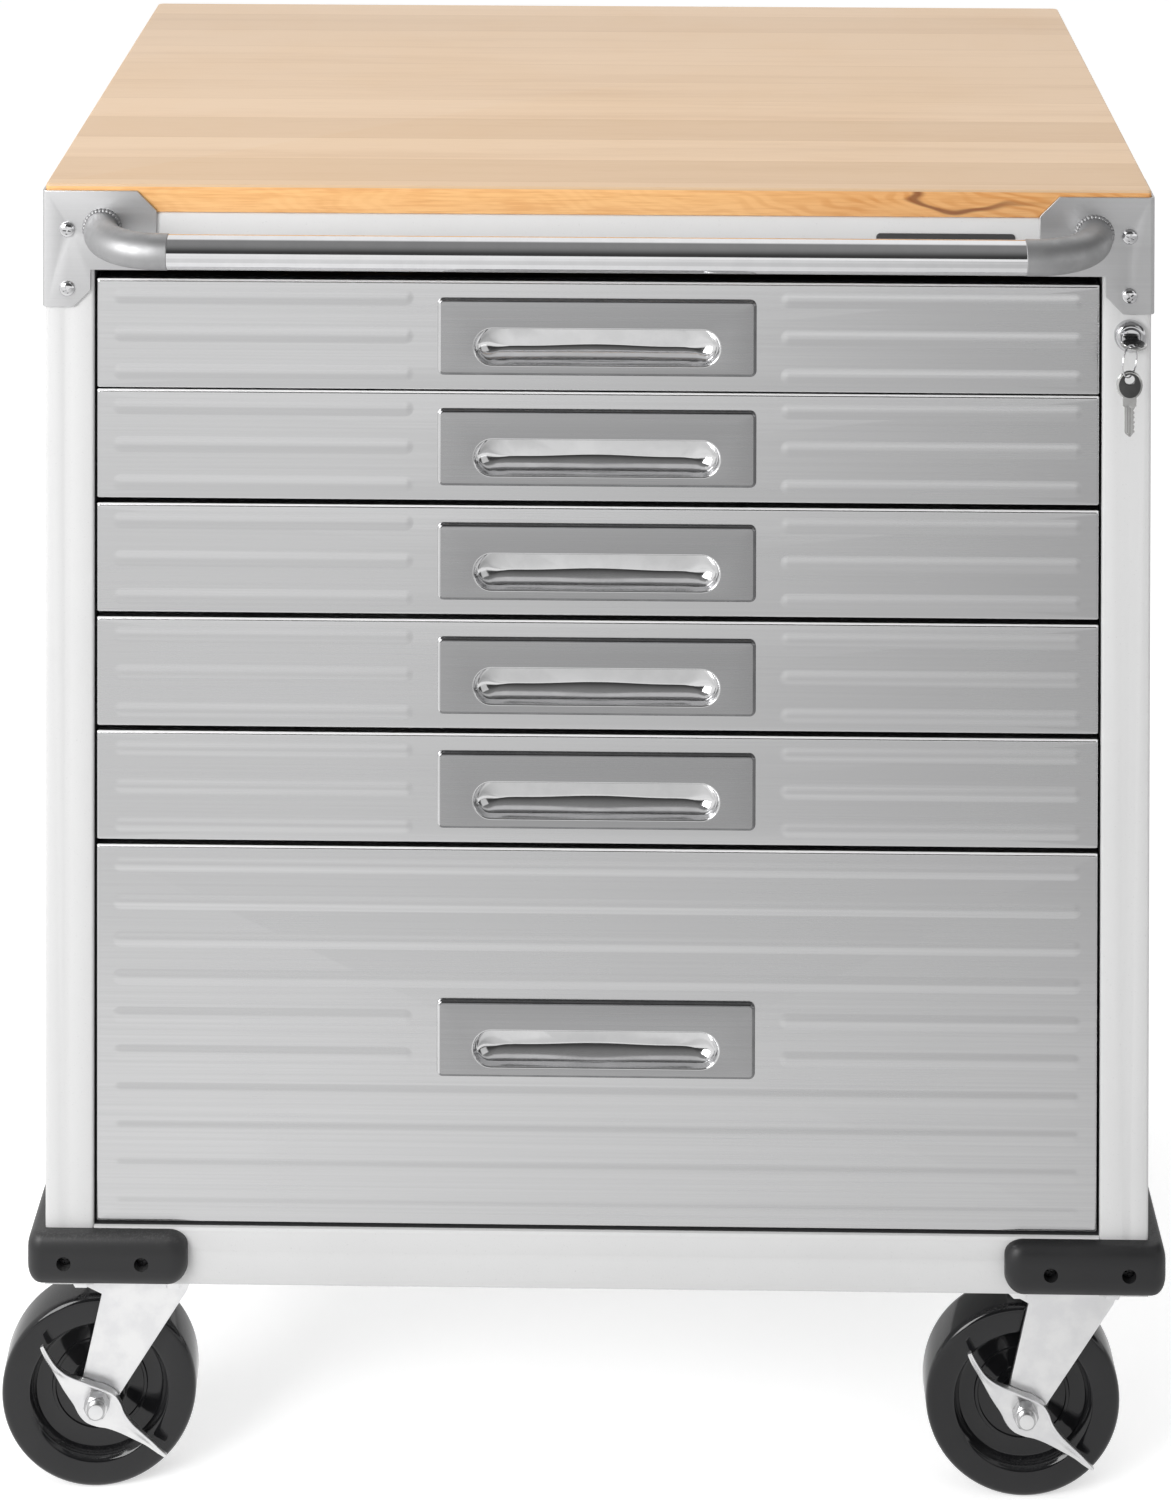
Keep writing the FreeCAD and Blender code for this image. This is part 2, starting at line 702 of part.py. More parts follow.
def lock_keys():
    """The key in the lock with its ring, the spare key that hangs from it, and the spare's pivot."""
    face_y = -bezel_rise - plug_proud
    in_lock = keyway_depth - keyway_clearance
    key, threaded = key_plate(bow_width, bow_length, key_blade_width, in_lock, key_neck)
    inserted = turned(key, vec(0, 0, 0), vec(1, 0, 0), 90).translated(vec(lock_x, face_y, lock_height))
    threading = vec(lock_x, face_y - threaded, lock_height)
    ahead = vec(-math.sin(math.radians(ring_turn)), -math.cos(math.radians(ring_turn)), 0)
    axis = ahead.cross(vec(0, 0, 1))
    reach = math.sqrt(ring_radius ** 2 - ring_sink ** 2)
    centre = threading + ahead * reach - vec(0, 0, ring_sink)
    half_wire = ring_wire / 2
    ends = (centre - axis * half_wire, centre + axis * half_wire)
    ring = flat_sided(turned_sides, ring_radius + half_wire, *ends)
    ring = ring.cut(flat_sided(turned_sides, ring_radius - half_wire, *ends))
    pivot = centre - vec(0, 0, ring_radius)
    spare, spare_hole = key_plate(bow_width, bow_length, spare_blade_width, key_blade_length, 0)
    spare = spare.translated(pivot - vec(0, 0, spare_hang + spare_hole))
    return [inserted, ring], spare, pivot


def lock_bar():
    """Flat comb behind the right post: the cam lifts it and its fingers stop the drawers' catches."""
    left = opening_half + case_gauge + bar_to_return
    bottoms = [bottom for bottom, _ in drawer_bottoms()]
    top = bottoms[0] + finger_bottom + finger_height
    depth = (bar_y, bar_y + bar_gauge)
    strip = box((left, left + bar_width), depth, (bottoms[-1] + finger_bottom, top))
    head_right = half_width - case_gauge - bar_to_return
    head = box((left, head_right), depth, (lock_height - lock_lift - cam_width, lock_height + bar_head))
    fingers = [box((opening_half - finger_reach, left + bar_width), depth,
                   (bottom + finger_bottom, bottom + finger_bottom + finger_height))
               for bottom in bottoms]
    rest = math.radians(cam_rest_angle)
    slip = cam_pin_radius + guide_clearance
    pin_low = cam_pin_offset * math.sin(rest)
    slot = box((lock_x + cam_pin_offset * math.sin(-rest) - slip, lock_x + cam_pin_offset + slip),
               (bar_y - bar_gap, bar_y + bar_gauge + bar_gap),
               (lock_height + pin_low - slip, lock_height + pin_low + slip + 2 * guide_clearance))
    return strip.multiFuse([head] + fingers).cut(slot).removeSplitter()


# --- Drawers ---------------------------------------------------------------------------------------
def bead(start_x, end_x, z):
    """A raised bead across a drawer front, tapered to its flat top."""
    rings = []
    for y, inset in ((front_gauge / 2, 0), (-bead_height, bead_draft)):
        low = z - bead_width / 2 + inset
        high = z + bead_width / 2 - inset
        corners = [(start_x + inset, low), (end_x - inset, low), (end_x - inset, high),
                   (start_x + inset, high)]
        rings.append([vec(x, y, height) for x, height in corners])
    return faceted(rings)


def bead_rows(height):
    """Beads of a front as (row height, start, end) from the front's middle."""
    rows = int((height - 2 * bead_edge_margin) // bead_pitch) + 1
    outer = front_half - bead_end_margin
    inner = pull_width / 2 + bead_to_pull
    spans = []
    for i in range(rows):
        z = (i - (rows - 1) / 2) * bead_pitch
        if abs(z) < (pull_height + bead_width) / 2:
            spans += [(z, inner, outer), (z, -outer, -inner)]
        else:
            spans.append((z, -outer, outer))
    return spans


def drawer_front(bottom, height):
    """Hollow folded front with raised beads and the window for the finger cup."""
    middle = bottom + height / 2
    shell = box((-front_half, front_half), (0, front_depth), (bottom, bottom + height))
    shell = shell.makeChamfer(front_edge_cut, [e for e in shell.Edges if e.BoundBox.YMax < front_gauge])
    inner = front_half - front_gauge
    hollow = box((-inner, inner), (front_gauge, front_depth - front_gauge),
                 (bottom + front_gauge, bottom + height - front_gauge))
    rear = front_half - front_lip
    mouth = box((-rear, rear), (front_depth / 2, front_depth),
                (bottom + front_lip, bottom + height - front_lip))
    side = cup_wall + cup_clearance
    across = slot_width / 2 + side
    upward = slot_height / 2 + side
    slot_z = middle - slot_drop
    window = box((-across, across), (-front_gauge, 2 * front_gauge), (slot_z - upward, slot_z + upward))
    beads = [bead(start, end, middle + z) for z, start, end in bead_rows(height)]
    return shell.cut([hollow, mouth, window]).multiFuse(beads)


def drawer_pull(bottom, height):
    """Raised plate with a long slot and the finger cup behind it."""
    middle = bottom + height / 2
    half_x = pull_width / 2
    half_z = pull_height / 2
    plate = box((-half_x, half_x), (-pull_raise, 0), (middle - half_z, middle + half_z))
    corners = [e for e in plate.Edges if e.BoundBox.YLength > pull_edge_cut]
    plate = plate.makeChamfer(pull_corner_cut, corners)
    rim = [e for e in plate.Edges if e.BoundBox.YMax < -pull_edge_cut]
    plate = plate.makeChamfer(pull_edge_cut, rim)

    def cup(wall, stations):
        sections = []
        for y, inset in stations:
            less = 2 * (inset - wall)
            centre = vec(0, y, middle - slot_drop)
            sections.append(long_hole(slot_width - less, slot_height - less, centre))
        return faceted(sections)

    outside = cup(cup_wall, [(-pull_edge_cut / 2, 0), (cup_straight, 0),
                             (cup_depth + cup_wall, cup_draft)])
    inside = cup(0, [(-2 * pull_raise, 0), (cup_straight, 0), (cup_depth, cup_draft)])
    return plate.fuse(outside).cut(inside)


def drawer_box(bottom, height):
    """Tray behind the front, with hemmed rim, floor beads and the catch for the lock bar."""
    low = bottom + box_lift
    high = bottom + height - box_headroom
    rear = front_depth + box_depth
    inner = box_half - box_gauge
    shell = box((-box_half, box_half), (front_depth, rear), (low, high))
    well = box((-inner, inner), (front_depth + box_gauge, rear - box_gauge), (low + box_gauge, high))
    tray = shell.cut(well)
    hem = box((inner - box_hem, inner), (front_depth + box_gauge, rear - box_gauge),
              (high - box_gauge, high))
    turn = box((inner - box_hem, inner - box_hem + box_gauge),
               (front_depth + box_gauge, rear - box_gauge), (high - box_hem_drop, high))
    catch_y = bar_y + bar_gauge + catch_setback
    catch = box((box_half - box_gauge, box_half + catch_reach), (catch_y, catch_y + catch_depth),
                (bottom + catch_bottom, bottom + catch_bottom + catch_height))
    beads = []
    for i in range(floor_bead_count):
        x = (i + 1) * 2 * box_half / (floor_bead_count + 1) - box_half
        half = floor_bead_width / 2
        floor = low + box_gauge
        crown = half - floor_bead_slope
        section = [(x - half, floor), (x + half, floor), (x + crown, floor + floor_bead_height),
                   (x - crown, floor + floor_bead_height)]
        ridge = prism(front_view, section, vec(0, box_depth - 2 * floor_bead_inset, 0))
        beads.append(ridge.translated(vec(0, front_depth + floor_bead_inset, 0)))
    return tray.multiFuse(both_sides(hem.fuse(turn)) + [catch] + beads).removeSplitter()


def channel(height, web_x, flange_x, middle_z, start_y):
    """A slide member: a channel with its web at web_x and its flanges reaching to flange_x."""
    half = height / 2
    side = 1 if web_x > flange_x else -1
    web = sorted((web_x, web_x - side * slide_gauge))
    reach = sorted((web_x, flange_x))
    length = (start_y, slide_start + slide_length)
    solid = box(web, length, (middle_z - half, middle_z + half))
    for edge in (middle_z - half, middle_z + half - slide_gauge):
        solid = solid.fuse(box(reach, length, (edge, edge + slide_gauge)))
    return solid.removeSplitter()


def slide_sections():
    """Across one slide from the drawer's side: web and flange end of each member."""
    cabinet = (opening_half, box_half + slide_gauge + flange_clearance)
    carriage_web = opening_half - slide_gauge - web_clearance
    carriage = (carriage_web, box_half + flange_clearance)
    runner = (box_half, carriage_web - slide_gauge - slide_gauge)
    return cabinet, carriage, runner


def cabinet_rail(bottom):
    cabinet, _, _ = slide_sections()
    return channel(slide_height, *cabinet, bottom + slide_middle, slide_start)


def carriage(bottom):
    """Middle slide member with the two ball cages that run between it and the cabinet's rail."""
    _, section, _ = slide_sections()
    middle = bottom + slide_middle
    start = slide_start + member_step
    member = channel(carriage_height, *section, middle, start)
    near = section[1] + flange_clearance
    across = (near, section[0] - flange_clearance)
    along = (start, start + cage_length)
    half = carriage_height / 2
    cages = [box(across, along, (middle + half, middle + half + cage_gauge)),
             box(across, along, (middle - half - cage_gauge, middle - half))]
    return [member] + cages


def runner(bottom):
    _, _, section = slide_sections()
    return channel(runner_height, *section, bottom + slide_middle, slide_start + 2 * member_step)


# --- Casters ---------------------------------------------------------------------------------------
# A caster is drawn with its swivel axis on the z axis and its wheel's axle along y.
def wheel():
    """Moulded wheel with dished faces and a bore for the bush that it runs on."""
    half = wheel_width / 2
    web = half - dish_depth
    disc = flat_sided(wheel_sides, wheel_radius, vec(0, -half, 0), vec(0, half, 0))
    dishes = [flat_turned(turned_sides, [(web_radius, web), (rim_inner_radius, half)], vec(0, 0, 0),
                          vec(0, side, 0)) for side in (-1, 1)]
    bore = round_bar(bush_radius + running_fit, vec(0, -half, 0), vec(0, half, 0))
    return disc.cut(dishes + [bore])


def fork_shell(top, crown_half, leg_edges, eye_x):
    """A U folded over the wheel, trimmed to its side outline, with an eye for the axle."""
    foot = wheel_radius - fork_eye_radius
    path = [(leg_outer, foot), (leg_outer, top), (-leg_outer, top), (-leg_outer, foot)]
    shell = folded(side_view, path, fork_gauge, vec(2 * crown_half, 0, 0), fork_bend)
    shell = shell.translated(vec(-crown_half, 0, 0))
    under = top - fork_gauge - fork_bend
    front, rear = leg_edges
    face = [(-crown_half, top), (-crown_half, under), (front, under - leg_shoulder),
            (eye_x - fork_eye_radius, wheel_radius), (eye_x - fork_eye_radius, foot),
            (eye_x + fork_eye_radius, foot), (eye_x + fork_eye_radius, wheel_radius),
            (rear, under - leg_shoulder), (crown_half, under), (crown_half, top)]
    eye_corners = {4: fork_eye_corner, 5: fork_eye_corner}
    trim = prism(front_view, face, vec(0, 2 * leg_outer, 0), eye_corners, corner_chords)
    shell = shell.common(trim.translated(vec(0, -leg_outer, 0)))
    eye = vec(eye_x, 0, wheel_radius)
    across = vec(0, 2 * leg_outer, 0)
    return shell.cut(flat_sided_hole(pin_sides, axle_radius + axle_fit, eye - across, eye + across))


def swivel_fork():
    """Front fork: folded legs, lower ball race and the hole for the pivot."""
    shell = fork_shell(crown_top, crown_half_length, (-leg_rear, leg_front), -caster_trail)
    race_top = vec(0, 0, crown_top + race_height)
    race = flat_sided(turned_sides, race_radius, vec(0, 0, crown_top), race_top)
    pivot = flat_sided_hole(pin_sides, pivot_radius + pivot_fit, vec(0, 0, wheel_radius),
                            vec(0, 0, caster_height))
    return shell.fuse(race).cut(pivot)


def plate_bolt_places():
    return [(x, y) for x in (-plate_bolt_pitch_x / 2, plate_bolt_pitch_x / 2)
            for y in (-plate_bolt_pitch_y / 2, plate_bolt_pitch_y / 2)]


def plate_bolt_holes(low, high):
    radius = plate_bolt_radius + plate_bolt_fit
    return [flat_sided_hole(shank_sides, radius, vec(x, y, low), vec(x, y, high))
            for x, y in plate_bolt_places()]


def top_plate():
    """Steel plate with cut corners that bolts to the base pan."""
    half_x = plate_width / 2
    half_y = plate_length / 2
    plate = box((-half_x, half_x), (-half_y, half_y), (caster_height - plate_gauge, caster_height))
    upright = [e for e in plate.Edges if e.BoundBox.ZLength > plate_gauge / 2]
    plate = plate.makeChamfer(plate_corner_cut, upright)
    return plate.cut(plate_bolt_holes(crown_top, pan_top))


def swivel_plate():
    """Top plate with the upper ball race and the headed pivot that holds the fork."""
    low = caster_height - plate_gauge
    race = flat_sided(turned_sides, upper_race_radius, vec(0, 0, low - race_height), vec(0, 0, low))
    under = crown_top - fork_gauge - race_gap
    pivot = round_bar(pivot_radius, vec(0, 0, under), vec(0, 0, low))
    head = flat_sided(pin_sides, pivot_head_radius, vec(0, 0, under - pivot_head), vec(0, 0, under))
    return top_plate().multiFuse([race, pivot, head]).removeSplitter()


def rigid_fork():
    """Rear caster frame: a plate and a folded fork in one, with its axle across the cabinet."""
    top = caster_height - plate_gauge
    shell = fork_shell(top, rigid_crown_half, (-rigid_leg_half, rigid_leg_half), 0)
    return turned(shell, vec(0, 0, 0), vec(0, 0, 1), 90).fuse(top_plate()).removeSplitter()


def plate_bolts():
    """Four bolts from the caster's plate up into the tapped base pan."""
    under = caster_height - plate_gauge
    pieces = []
    for x, y in plate_bolt_places():
        head = hexagon(plate_bolt_head_flat, vec(x, y, under - plate_bolt_head), vec(x, y, under))
        end = vec(x, y, pan_top + plate_bolt_end)
        pieces.append(head.fuse(flat_sided(shank_sides, plate_bolt_radius, vec(x, y, under), end)))
    return pieces


pedal_rear = -leg_outer - washer_thickness
pedal_front = pedal_rear - pedal_gauge
axle_nut_rear = pedal_front - pedal_gap


def axle_bolt(nut_rear):
    """Axle bolt along y, tight on its bush, with its head behind the rear leg and its nut in front."""
    def along(y):
        return vec(0, y, 0)

    shank = flat_sided(pin_sides, axle_radius, along(nut_rear - axle_nut - axle_end), along(leg_outer))
    head = hexagon(axle_nut_flat, along(leg_outer), along(leg_outer + axle_head))
    nut = hexagon(axle_nut_flat, along(nut_rear - axle_nut), along(nut_rear))
    bush = flat_sided(pin_sides, bush_radius, along(-leg_inner), along(leg_inner))
    return shank.multiFuse([head, nut, bush]).removeSplitter()


def front_axle():
    """Axle bolt with the washer that keeps the brake pedal off the fork."""
    spacer = flat_sided(pin_sides, washer_radius, vec(0, pedal_rear, 0), vec(0, -leg_outer, 0))
    return axle_bolt(axle_nut_rear).fuse(spacer).removeSplitter()


def brake_pedal():
    """Pressed rocker on the axle: a round hub, two tapered wings and a turned upper edge."""
    half = pedal_half_length
    root = pedal_root_half
    tip_low = pedal_tip_rise - pedal_tip_width / 2
    tip_high = pedal_tip_rise + pedal_tip_width / 2
    root_low = pedal_hub_rise - pedal_root_width / 2
    root_high = pedal_hub_rise + pedal_root_width / 2
    hub_low = pedal_hub_rise - pedal_hub_radius
    crest = pedal_hub_rise + pedal_crest
    points = [(-half, tip_low), (-root, root_low), (0, hub_low), (root, root_low), (half, tip_low),
              (half, tip_high), (root, root_high), (0, crest), (-root, root_high), (-half, tip_high)]
    plate = prism(front_view, points, vec(0, pedal_gauge, 0))
    edge = [(half, tip_high), (root, root_high), (0, crest), (-root, root_high), (-half, tip_high)]
    flange = folded(front_view, edge, pedal_gauge, vec(0, -pedal_flange, 0), 0)
    pedal = plate.fuse(flange.translated(vec(0, pedal_gauge, 0)))
    ends = (vec(0, -pedal_flange, 0), vec(0, 2 * pedal_gauge, 0))
    pedal = pedal.cut(flat_sided_hole(pin_sides, axle_radius + axle_fit, *ends)).removeSplitter()
    pedal.rotate(vec(0, 0, 0), vec(0, -1, 0), pedal_angle)
    return pedal.translated(vec(0, pedal_front, 0))


# --- Assembly --------------------------------------------------------------------------------------
hub_shift = vec(-caster_trail, 0, wheel_radius)
front_casters = {"left": (vec(-caster_x, caster_setback, 0), left_fork_angle),
                 "right": (vec(caster_x, caster_setback, 0), right_fork_angle)}
rear_casters = {"left": vec(-caster_x, rear_caster_y, 0), "right": vec(caster_x, rear_caster_y, 0)}

right_panel = side_panel().cut(right_side_holes())
lock_hole = flat_sided_hole(pin_sides, barrel_radius + plug_fit, lock_centre - vec(0, case_gauge, 0),
                            lock_centre + vec(0, 2 * case_gauge, 0))
write("side_panel_left", [mirrored(right_panel)])
write("side_panel_right", [right_panel.cut(lock_guides() + [lock_hole])])
caster_places = [place for place, _ in front_casters.values()] + list(rear_casters.values())
bolt_holes = [hole.translated(place) for place in caster_places
              for hole in plate_bolt_holes(caster_height - case_gauge, pan_top + case_gauge)]
screw_paths = right_side_holes()
left_paths = [mirrored(path) for path in screw_paths]
write("base_pan", [base_pan().cut(bolt_holes + screw_paths + left_paths)])
write("back_panel", [back_panel().cut(screw_paths + left_paths)])
write("top_rail", [top_rail()])
write("worktop", [worktop()])
cabinet_members = [cabinet_rail(bottom) for bottom, _ in drawer_bottoms()]
write("cabinet_rails", [rail for member in cabinet_members for rail in both_sides(member)])

write("handle_brackets", both_sides(handle_bracket()))
write("handle_elbows", both_sides(handle_elbow()))
write("handle_tube", [handle_tube()])
front_screws = [screw(seat, out) for seat, out in bracket_seats + bumper_seats]
rear_screws = [front_to_rear(screw(seat, out)) for seat, out in bumper_seats]
write("trim_screws", [piece for s in front_screws + rear_screws for piece in both_sides(s)])
bumper = corner_bumper()
write("corner_bumpers", both_sides(bumper) + both_sides(front_to_rear(bumper)))

key_and_ring, spare_key, spare_pivot = lock_keys()
write("lock_housing", lock_housing())
write("lock_plug", lock_plug())
write("lock_key", key_and_ring)
write("spare_key", [spare_key])
write("lock_bar", [lock_bar()])

for number, (bottom, height) in enumerate(drawer_bottoms(), start=1):
    write(f"drawer_{number}_front", [drawer_front(bottom, height)])
    write(f"drawer_{number}_box", [drawer_box(bottom, height)])
    write(f"drawer_{number}_pull", [drawer_pull(bottom, height)])
    write(f"drawer_{number}_runners", both_sides(runner(bottom)))
    write(f"drawer_{number}_carriages", [p for part in carriage(bottom) for p in both_sides(part)])

fasteners = []
plates = []
for side, (place, angle) in front_casters.items():
    def placed(solid):
        return turned(solid, vec(0, 0, 0), vec(0, 0, 1), angle).translated(place)

    write(f"fork_front_{side}", [placed(swivel_fork())])
    write(f"wheel_front_{side}", [placed(wheel().translated(hub_shift))])
    write(f"axle_front_{side}", [placed(front_axle().translated(hub_shift))])
    write(f"brake_front_{side}", [placed(brake_pedal().translated(hub_shift))])
    plates.append(swivel_plate().translated(place))
    fasteners += [bolt.translated(place) for bolt in plate_bolts()]
write("swivel_plates", plates)

forks = []
for side, place in rear_casters.items():
    hub = place + vec(0, 0, wheel_radius)
    forks.append(rigid_fork().translated(place))
    write(f"wheel_rear_{side}", [turned(wheel(), vec(0, 0, 0), vec(0, 0, 1), 90).translated(hub)])
    fasteners += [bolt.translated(place) for bolt in plate_bolts()]
    fasteners.append(turned(axle_bolt(-leg_outer), vec(0, 0, 0), vec(0, 0, 1), 90).translated(hub))
write("rigid_forks", forks)
write("caster_fasteners", fasteners)
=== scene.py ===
import json
import logging
import math
from dataclasses import dataclass
from enum import Enum
from typing import Callable, Sequence

import bmesh
import bpy
from bpy.types import Material, Mesh, Node, NodeSocket, NodeTree, Object
from mathutils import Matrix, Vector


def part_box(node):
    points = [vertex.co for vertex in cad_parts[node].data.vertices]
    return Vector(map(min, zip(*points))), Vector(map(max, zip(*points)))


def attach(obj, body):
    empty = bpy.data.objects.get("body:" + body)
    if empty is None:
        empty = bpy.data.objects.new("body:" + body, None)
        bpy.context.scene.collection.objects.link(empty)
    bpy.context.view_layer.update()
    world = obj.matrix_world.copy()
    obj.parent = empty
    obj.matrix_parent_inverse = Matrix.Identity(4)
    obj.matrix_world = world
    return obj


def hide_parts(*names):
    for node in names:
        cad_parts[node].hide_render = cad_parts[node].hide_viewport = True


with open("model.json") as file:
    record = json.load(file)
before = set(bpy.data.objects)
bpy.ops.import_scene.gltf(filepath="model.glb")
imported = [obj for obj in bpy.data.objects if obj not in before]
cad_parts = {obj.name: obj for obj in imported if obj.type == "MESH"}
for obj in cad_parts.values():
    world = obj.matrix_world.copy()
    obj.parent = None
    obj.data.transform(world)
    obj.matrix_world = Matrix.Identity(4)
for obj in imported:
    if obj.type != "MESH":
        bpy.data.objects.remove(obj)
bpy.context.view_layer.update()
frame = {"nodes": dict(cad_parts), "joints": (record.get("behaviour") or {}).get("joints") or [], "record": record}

log = logging.getLogger("tool_chest")

Pair = tuple[float, float]
Triple = tuple[float, float, float]
Ring = list[Vector]
Placer = Callable[[float, float, float], Vector]

MM = 0.001
UP = Vector((0, 0, 1))
FORWARDS = Vector((0, -1, 0))
RIGHTWARDS = Vector((1, 0, 0))
JOINTS = {joint["name"]: joint for joint in frame["joints"]}


# ---------------------------------------------------------------- node benches


class Bench:
    """Lays out the nodes of one material, world or group, and joins their sockets."""

    def __init__(self, tree: NodeTree) -> None:
        """Starts on an empty tree."""
        self.tree = tree
        tree.nodes.clear()

    def feed(self, target: NodeSocket, value: object) -> None:
        """Sets an input to a plain value, or links it when the value is a socket."""
        if isinstance(value, NodeSocket):
            self.tree.links.new(value, target)
        elif isinstance(value, tuple) and len(value) == 3 and target.type == "RGBA":
            target.default_value = (*value, 1.0)
        else:
            target.default_value = value

    def add(self, kind: str, inputs: dict[str | int, object] | None = None, **settings: object) -> Node:
        """Adds a node.

        Args:
            kind: Blender's name of the node.
            inputs: plain values or sockets for its inputs, by name or number.
            settings: properties of the node.

        Returns:
            The new node.
        """
        node = self.tree.nodes.new(kind)
        for key, value in settings.items():
            setattr(node, key, value)
        for key, value in (inputs or {}).items():
            self.feed(node.inputs[key], value)
        return node

    def maths(self, operation: str, *values: object, clamp: bool = False) -> NodeSocket:
        """Works on numbers or sockets; clamp keeps the result between 0 and 1."""
        inputs = dict(enumerate(values))
        return self.add("ShaderNodeMath", inputs, operation=operation, use_clamp=clamp).outputs[0]

    def times(self, value: object, factor: object, plus: object = None) -> NodeSocket:
        """A number or socket times a factor, plus one more if it is given."""
        if plus is None:
            return self.maths("MULTIPLY", value, factor)
        return self.maths("MULTIPLY_ADD", value, factor, plus)

    def spread(self, value: NodeSocket, low: float, high: float, to_low: float = 0.0, to_high: float = 1.0,
               smooth: bool = True) -> NodeSocket:
        """Maps a value from one range to another, with soft ends unless smooth is False."""
        kind = "SMOOTHSTEP" if smooth else "LINEAR"
        inputs = dict(enumerate((value, low, high, to_low, to_high)))
        return self.add("ShaderNodeMapRange", inputs, interpolation_type=kind).outputs[0]

    def blend(self, share: object, first: object, second: object) -> NodeSocket:
        """Mixes two colours by a share from 0 to 1."""
        inputs = {"Factor": share, 6: first, 7: second}
        return self.add("ShaderNodeMix", inputs, data_type="RGBA").outputs[2]

    def where(self, kind: str = "Object") -> NodeSocket:
        """Where a point is on its piece, or in another kind of texture coordinates."""
        return self.add("ShaderNodeTexCoord").outputs[kind]

    def place(self, scale: Triple = (1, 1, 1), where: NodeSocket | None = None) -> NodeSocket:
        """Coordinates stretched by scale, which sets how a pattern runs on a piece."""
        vector = self.where() if where is None else where
        return self.add("ShaderNodeMapping", {"Scale": scale, "Vector": vector}).outputs["Vector"]

    def split(self, vector: NodeSocket) -> tuple[NodeSocket, ...]:
        """The x, y and z of a vector."""
        return tuple(self.add("ShaderNodeSeparateXYZ", {0: vector}).outputs)

    def upward(self) -> NodeSocket:
        """How far a face looks up, from -1 to 1."""
        return self.split(self.add("ShaderNodeNewGeometry").outputs["Normal"])[2]

    def noise(self, where: NodeSocket, scale: float, detail: float = 2.0, rough: float = 0.5) -> NodeSocket:
        """A soft random pattern."""
        inputs = {"Vector": where, "Scale": scale, "Detail": detail, "Roughness": rough}
        return self.add("ShaderNodeTexNoise", inputs).outputs["Fac"]

    def use(self, group: NodeTree, **values: object) -> Sequence[NodeSocket]:
        """Places a shared effect with its own values, and gives its outputs, which go by name."""
        return self.add("ShaderNodeGroup", values, node_tree=group).outputs

    def relief(self, height: NodeSocket, strength: float, depth: float) -> NodeSocket:
        """Fine relief from a pattern: the share of it that shows, and its depth in metres."""
        inputs = {"Strength": strength, "Distance": depth, "Height": height}
        return self.add("ShaderNodeBump", inputs).outputs["Normal"]


class Group(Bench):
    """A node group being laid out, whose inputs and outputs go by name."""

    def __init__(self, name: str, kind: str) -> None:
        """Starts the group; its sockets are added before its nodes."""
        super().__init__(bpy.data.node_groups.new(name, kind))
        self.names: dict[str, str] = {}

    def socket(self, label: str, kind: str = "Float", way: str = "INPUT", usual: float | None = None
               ) -> None:
        """Adds an input or an output.

        Args:
            label: its name.
            kind: what runs through it.
            way: whether it is an input or an output.
            usual: an input's usual value.
        """
        new = self.tree.interface.new_socket(label, in_out=way, socket_type=f"NodeSocket{kind}")
        self.names[label] = new.identifier
        if usual is not None:
            new.default_value = usual


class Effect(Group):
    """A shared effect, whose numbers go in and come out by name."""

    def __init__(self, name: str, inputs: dict[str, float], outputs: Sequence[str]) -> None:
        """Starts the effect.

        Args:
            name: the group's name.
            inputs: number inputs and their usual values.
            outputs: names of its number outputs.
        """
        super().__init__(name, "ShaderNodeTree")
        for label, usual in inputs.items():
            self.socket(label, usual=usual)
        for label in outputs:
            self.socket(label, way="OUTPUT")
        self.given = self.add("NodeGroupInput").outputs

    def scaled(self, stretch: Triple = (1, 1, 1)) -> NodeSocket:
        """Object coordinates times the effect's scale, stretched unevenly."""
        inputs = {0: self.place(stretch), "Scale": self.given["Scale"]}
        return self.add("ShaderNodeVectorMath", inputs, operation="SCALE").outputs["Vector"]

    def ends(self, **results: NodeSocket) -> NodeTree:
        """Sends the results out and gives the finished group."""
        self.add("NodeGroupOutput", results)
        return self.tree


def make_speckle() -> NodeTree:
    """Fine droplets of hammered paint: a mask of the darker specks and the skin's height."""
    bench = Effect("paint_speckle", {"Scale": 1.0, "Share": 0.35}, ["Mask", "Height"])
    where = bench.scaled()
    fine = bench.noise(where, 900.0, detail=3.0, rough=0.65)
    coarse = bench.noise(where, 260.0)
    limit = bench.maths("SUBTRACT", 0.78, bench.times(bench.given["Share"], 0.45))
    above = bench.maths("MULTIPLY", bench.maths("SUBTRACT", fine, limit), 9.0, clamp=True)
    return bench.ends(Mask=above, Height=bench.maths("ADD", fine, bench.times(coarse, 0.8)))


def make_brushing() -> NodeTree:
    """Brush lines that run left to right: a streak value, a broad band value and the lines' height."""
    bench = Effect("brush_lines", {"Scale": 1.0}, ["Streak", "Band", "Height"])
    fine = bench.noise(bench.scaled((5, 220, 2600)), 1.0, detail=3.0, rough=0.6)
    long = bench.noise(bench.scaled((1.6, 90, 520)), 1.0)
    broad = bench.noise(bench.scaled((1.1, 4, 26)), 1.0)
    streak = bench.times(fine, 0.55, bench.times(long, 0.45))
    return bench.ends(Streak=streak, Band=broad, Height=bench.maths("ADD", fine, long))


def make_handling() -> NodeTree:
    """Faint smudges and settled dust: one mask for each."""
    bench = Effect("handling", {"Scale": 1.0, "Dust": 0.3}, ["Smudge", "Dust"])
    where = bench.scaled()
    cloud = bench.noise(where, 9.0, detail=4.0, rough=0.6)
    grit = bench.noise(where, 420.0, rough=0.6)
    settled = bench.times(bench.spread(bench.upward(), 0.3, 1.0), bench.spread(grit, 0.45, 0.7))
    return bench.ends(Smudge=bench.spread(cloud, 0.42, 0.68), Dust=bench.times(settled, bench.given["Dust"]))


